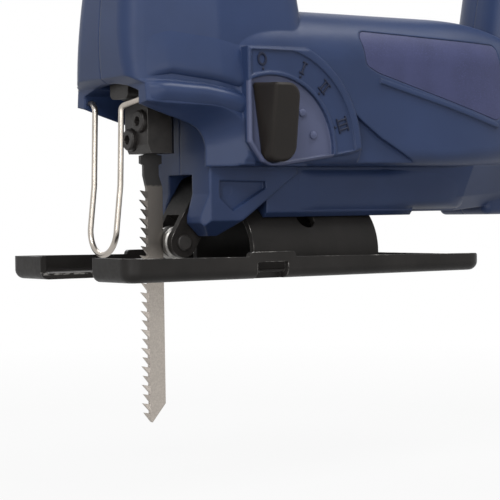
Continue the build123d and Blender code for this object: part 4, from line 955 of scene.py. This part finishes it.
lever = new_piece("selector_lever", selector_lever, black_plastic, "selector")
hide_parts("selector_knob")
guard = new_piece("guard_wire", guard_wire, wire, "guard")
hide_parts("wire_guard")
new_piece("hood_rim", hood_band(RIM_LINE_MM, RIM_PROFILE_MM, RIM_FADE_MM), navy, "housing")
new_piece("nose_edge", hood_band(NOSE_LINE_MM, NOSE_PROFILE_MM, NOSE_FADE_MM), navy, "housing")
new_piece("keel_flank", keel_flank, navy, "housing")
new_piece("dial_numerals", dial_numerals, numeral_shade_finish, "housing")
new_piece("dial_marks", dial_marks, numeral_shade_finish, "housing")
new_piece("dial_detents", dial_detents, detent, "housing")
new_piece("grip_ribs", grip_ribs, rubber, "housing")
new_piece("button_ring", button_ring, black_plastic, "lock_button")
new_piece("trigger_ridges", trigger_ridges, black_plastic, "trigger")


# Camera, light and floor
def photo_camera():
    """Camera that sees the tool as the photograph does."""
    data = bpy.data.cameras.new("photo_camera")
    data.sensor_width = SENSOR_MM
    data.lens = SENSOR_MM * FOCAL_PX / FRAME_PX
    data.clip_start = 0.01
    data.clip_end = 50.0
    look = Vector((
        math.sin(CAMERA_YAW) * math.cos(CAMERA_PITCH),
        math.cos(CAMERA_YAW) * math.cos(CAMERA_PITCH),
        math.sin(CAMERA_PITCH),
    ))
    level_right = Vector((math.cos(CAMERA_YAW), -math.sin(CAMERA_YAW), 0.0))
    level_up = level_right.cross(look)
    right = level_right * math.cos(CAMERA_ROLL) + level_up * math.sin(CAMERA_ROLL)
    up = level_up * math.cos(CAMERA_ROLL) - level_right * math.sin(CAMERA_ROLL)
    camera = bpy.data.objects.new("photo_camera", data)
    turn = Matrix((right, up, -look)).transposed().to_4x4()
    camera.matrix_world = Matrix.Translation(Vector(CAMERA_AT_MM) * MM) @ turn
    bpy.context.scene.collection.objects.link(camera)
    bpy.context.scene.camera = camera


def area_light(name, place, target, size, power):
    """Rectangular lamp that faces the target."""
    data = bpy.data.lights.new(name, "AREA")
    data.shape = "RECTANGLE"
    data.size, data.size_y = size
    data.energy = power
    light = bpy.data.objects.new(name, data)
    light.location = place
    light.rotation_euler = (Vector(target) - Vector(place)).to_track_quat("-Z", "Y").to_euler()
    bpy.context.scene.collection.objects.link(light)


def seen_directly(nodes, links):
    """1 for camera, glossy and transmission rays, 0 for the rays that light the object."""
    path = nodes.new("ShaderNodeLightPath")
    first = nodes.new("ShaderNodeMath")
    first.operation = "MAXIMUM"
    links.new(path.outputs["Is Camera Ray"], first.inputs[0])
    links.new(path.outputs["Is Glossy Ray"], first.inputs[1])
    both = nodes.new("ShaderNodeMath")
    both.operation = "MAXIMUM"
    links.new(first.outputs["Value"], both.inputs[0])
    links.new(path.outputs["Is Transmission Ray"], both.inputs[1])
    return both.outputs["Value"]


def studio_world():
    """White surroundings that light the object at a lower level than they show."""
    world = bpy.data.worlds.new("studio")
    bpy.context.scene.world = world
    world.use_nodes = True
    nodes, links = world.node_tree.nodes, world.node_tree.links
    nodes.clear()
    background = nodes.new("ShaderNodeBackground")
    background.inputs["Color"].default_value = (1.0, 1.0, 1.0, 1.0)
    level = nodes.new("ShaderNodeMapRange")
    level.inputs["To Min"].default_value = WORLD_LEVEL
    level.inputs["To Max"].default_value = 1.0
    links.new(seen_directly(nodes, links), level.inputs["Value"])
    links.new(level.outputs["Result"], background.inputs["Strength"])
    output = nodes.new("ShaderNodeOutputWorld")
    links.new(background.outputs["Background"], output.inputs["Surface"])


def studio_floor(level):
    """White floor that keeps a faint shadow of the object."""
    material = bpy.data.materials.new("pale_floor")
    material.use_nodes = True
    nodes, links = material.node_tree.nodes, material.node_tree.links
    nodes.clear()
    paper = nodes.new("ShaderNodeBsdfDiffuse")
    paper.inputs["Color"].default_value = (FLOOR_PAPER, FLOOR_PAPER, FLOOR_PAPER, 1.0)
    glow = nodes.new("ShaderNodeEmission")
    reach = nodes.new("ShaderNodeVectorMath")
    reach.operation = "LENGTH"
    links.new(nodes.new("ShaderNodeNewGeometry").outputs["Position"], reach.inputs[0])
    away = nodes.new("ShaderNodeMapRange")
    away.inputs["From Min"].default_value = FLOOR_GLOW_REACH[0]
    away.inputs["From Max"].default_value = FLOOR_GLOW_REACH[1]
    away.inputs["To Min"].default_value = FLOOR_GLOW
    links.new(reach.outputs["Value"], away.inputs["Value"])
    share = nodes.new("ShaderNodeMath")
    share.operation = "MULTIPLY"
    links.new(seen_directly(nodes, links), share.inputs[0])
    links.new(away.outputs["Result"], share.inputs[1])
    blend = nodes.new("ShaderNodeMixShader")
    links.new(share.outputs["Value"], blend.inputs["Fac"])
    links.new(paper.outputs["BSDF"], blend.inputs[1])
    links.new(glow.outputs["Emission"], blend.inputs[2])
    output = nodes.new("ShaderNodeOutputMaterial")
    links.new(blend.outputs["Shader"], output.inputs["Surface"])
    mesh = bpy.data.meshes.new("floor")
    corners = [(x * FLOOR_HALF, y * FLOOR_HALF, level) for x, y in ((-1, -1), (1, -1), (1, 1), (-1, 1))]
    mesh.from_pydata(corners, [], [(0, 1, 2, 3)])
    mesh.materials.append(material)
    floor = bpy.data.objects.new("floor", mesh)
    bpy.context.scene.collection.objects.link(floor)


bpy.context.scene.view_settings.view_transform = "Standard"
photo_camera()
studio_world()
studio_floor(cad_low.z - FLOOR_DEPTH)
middle = (cad_low + cad_high) / 2
for light, offset, size, watts in LIGHTS:
    area_light(light, middle + Vector(offset), middle, size, watts)
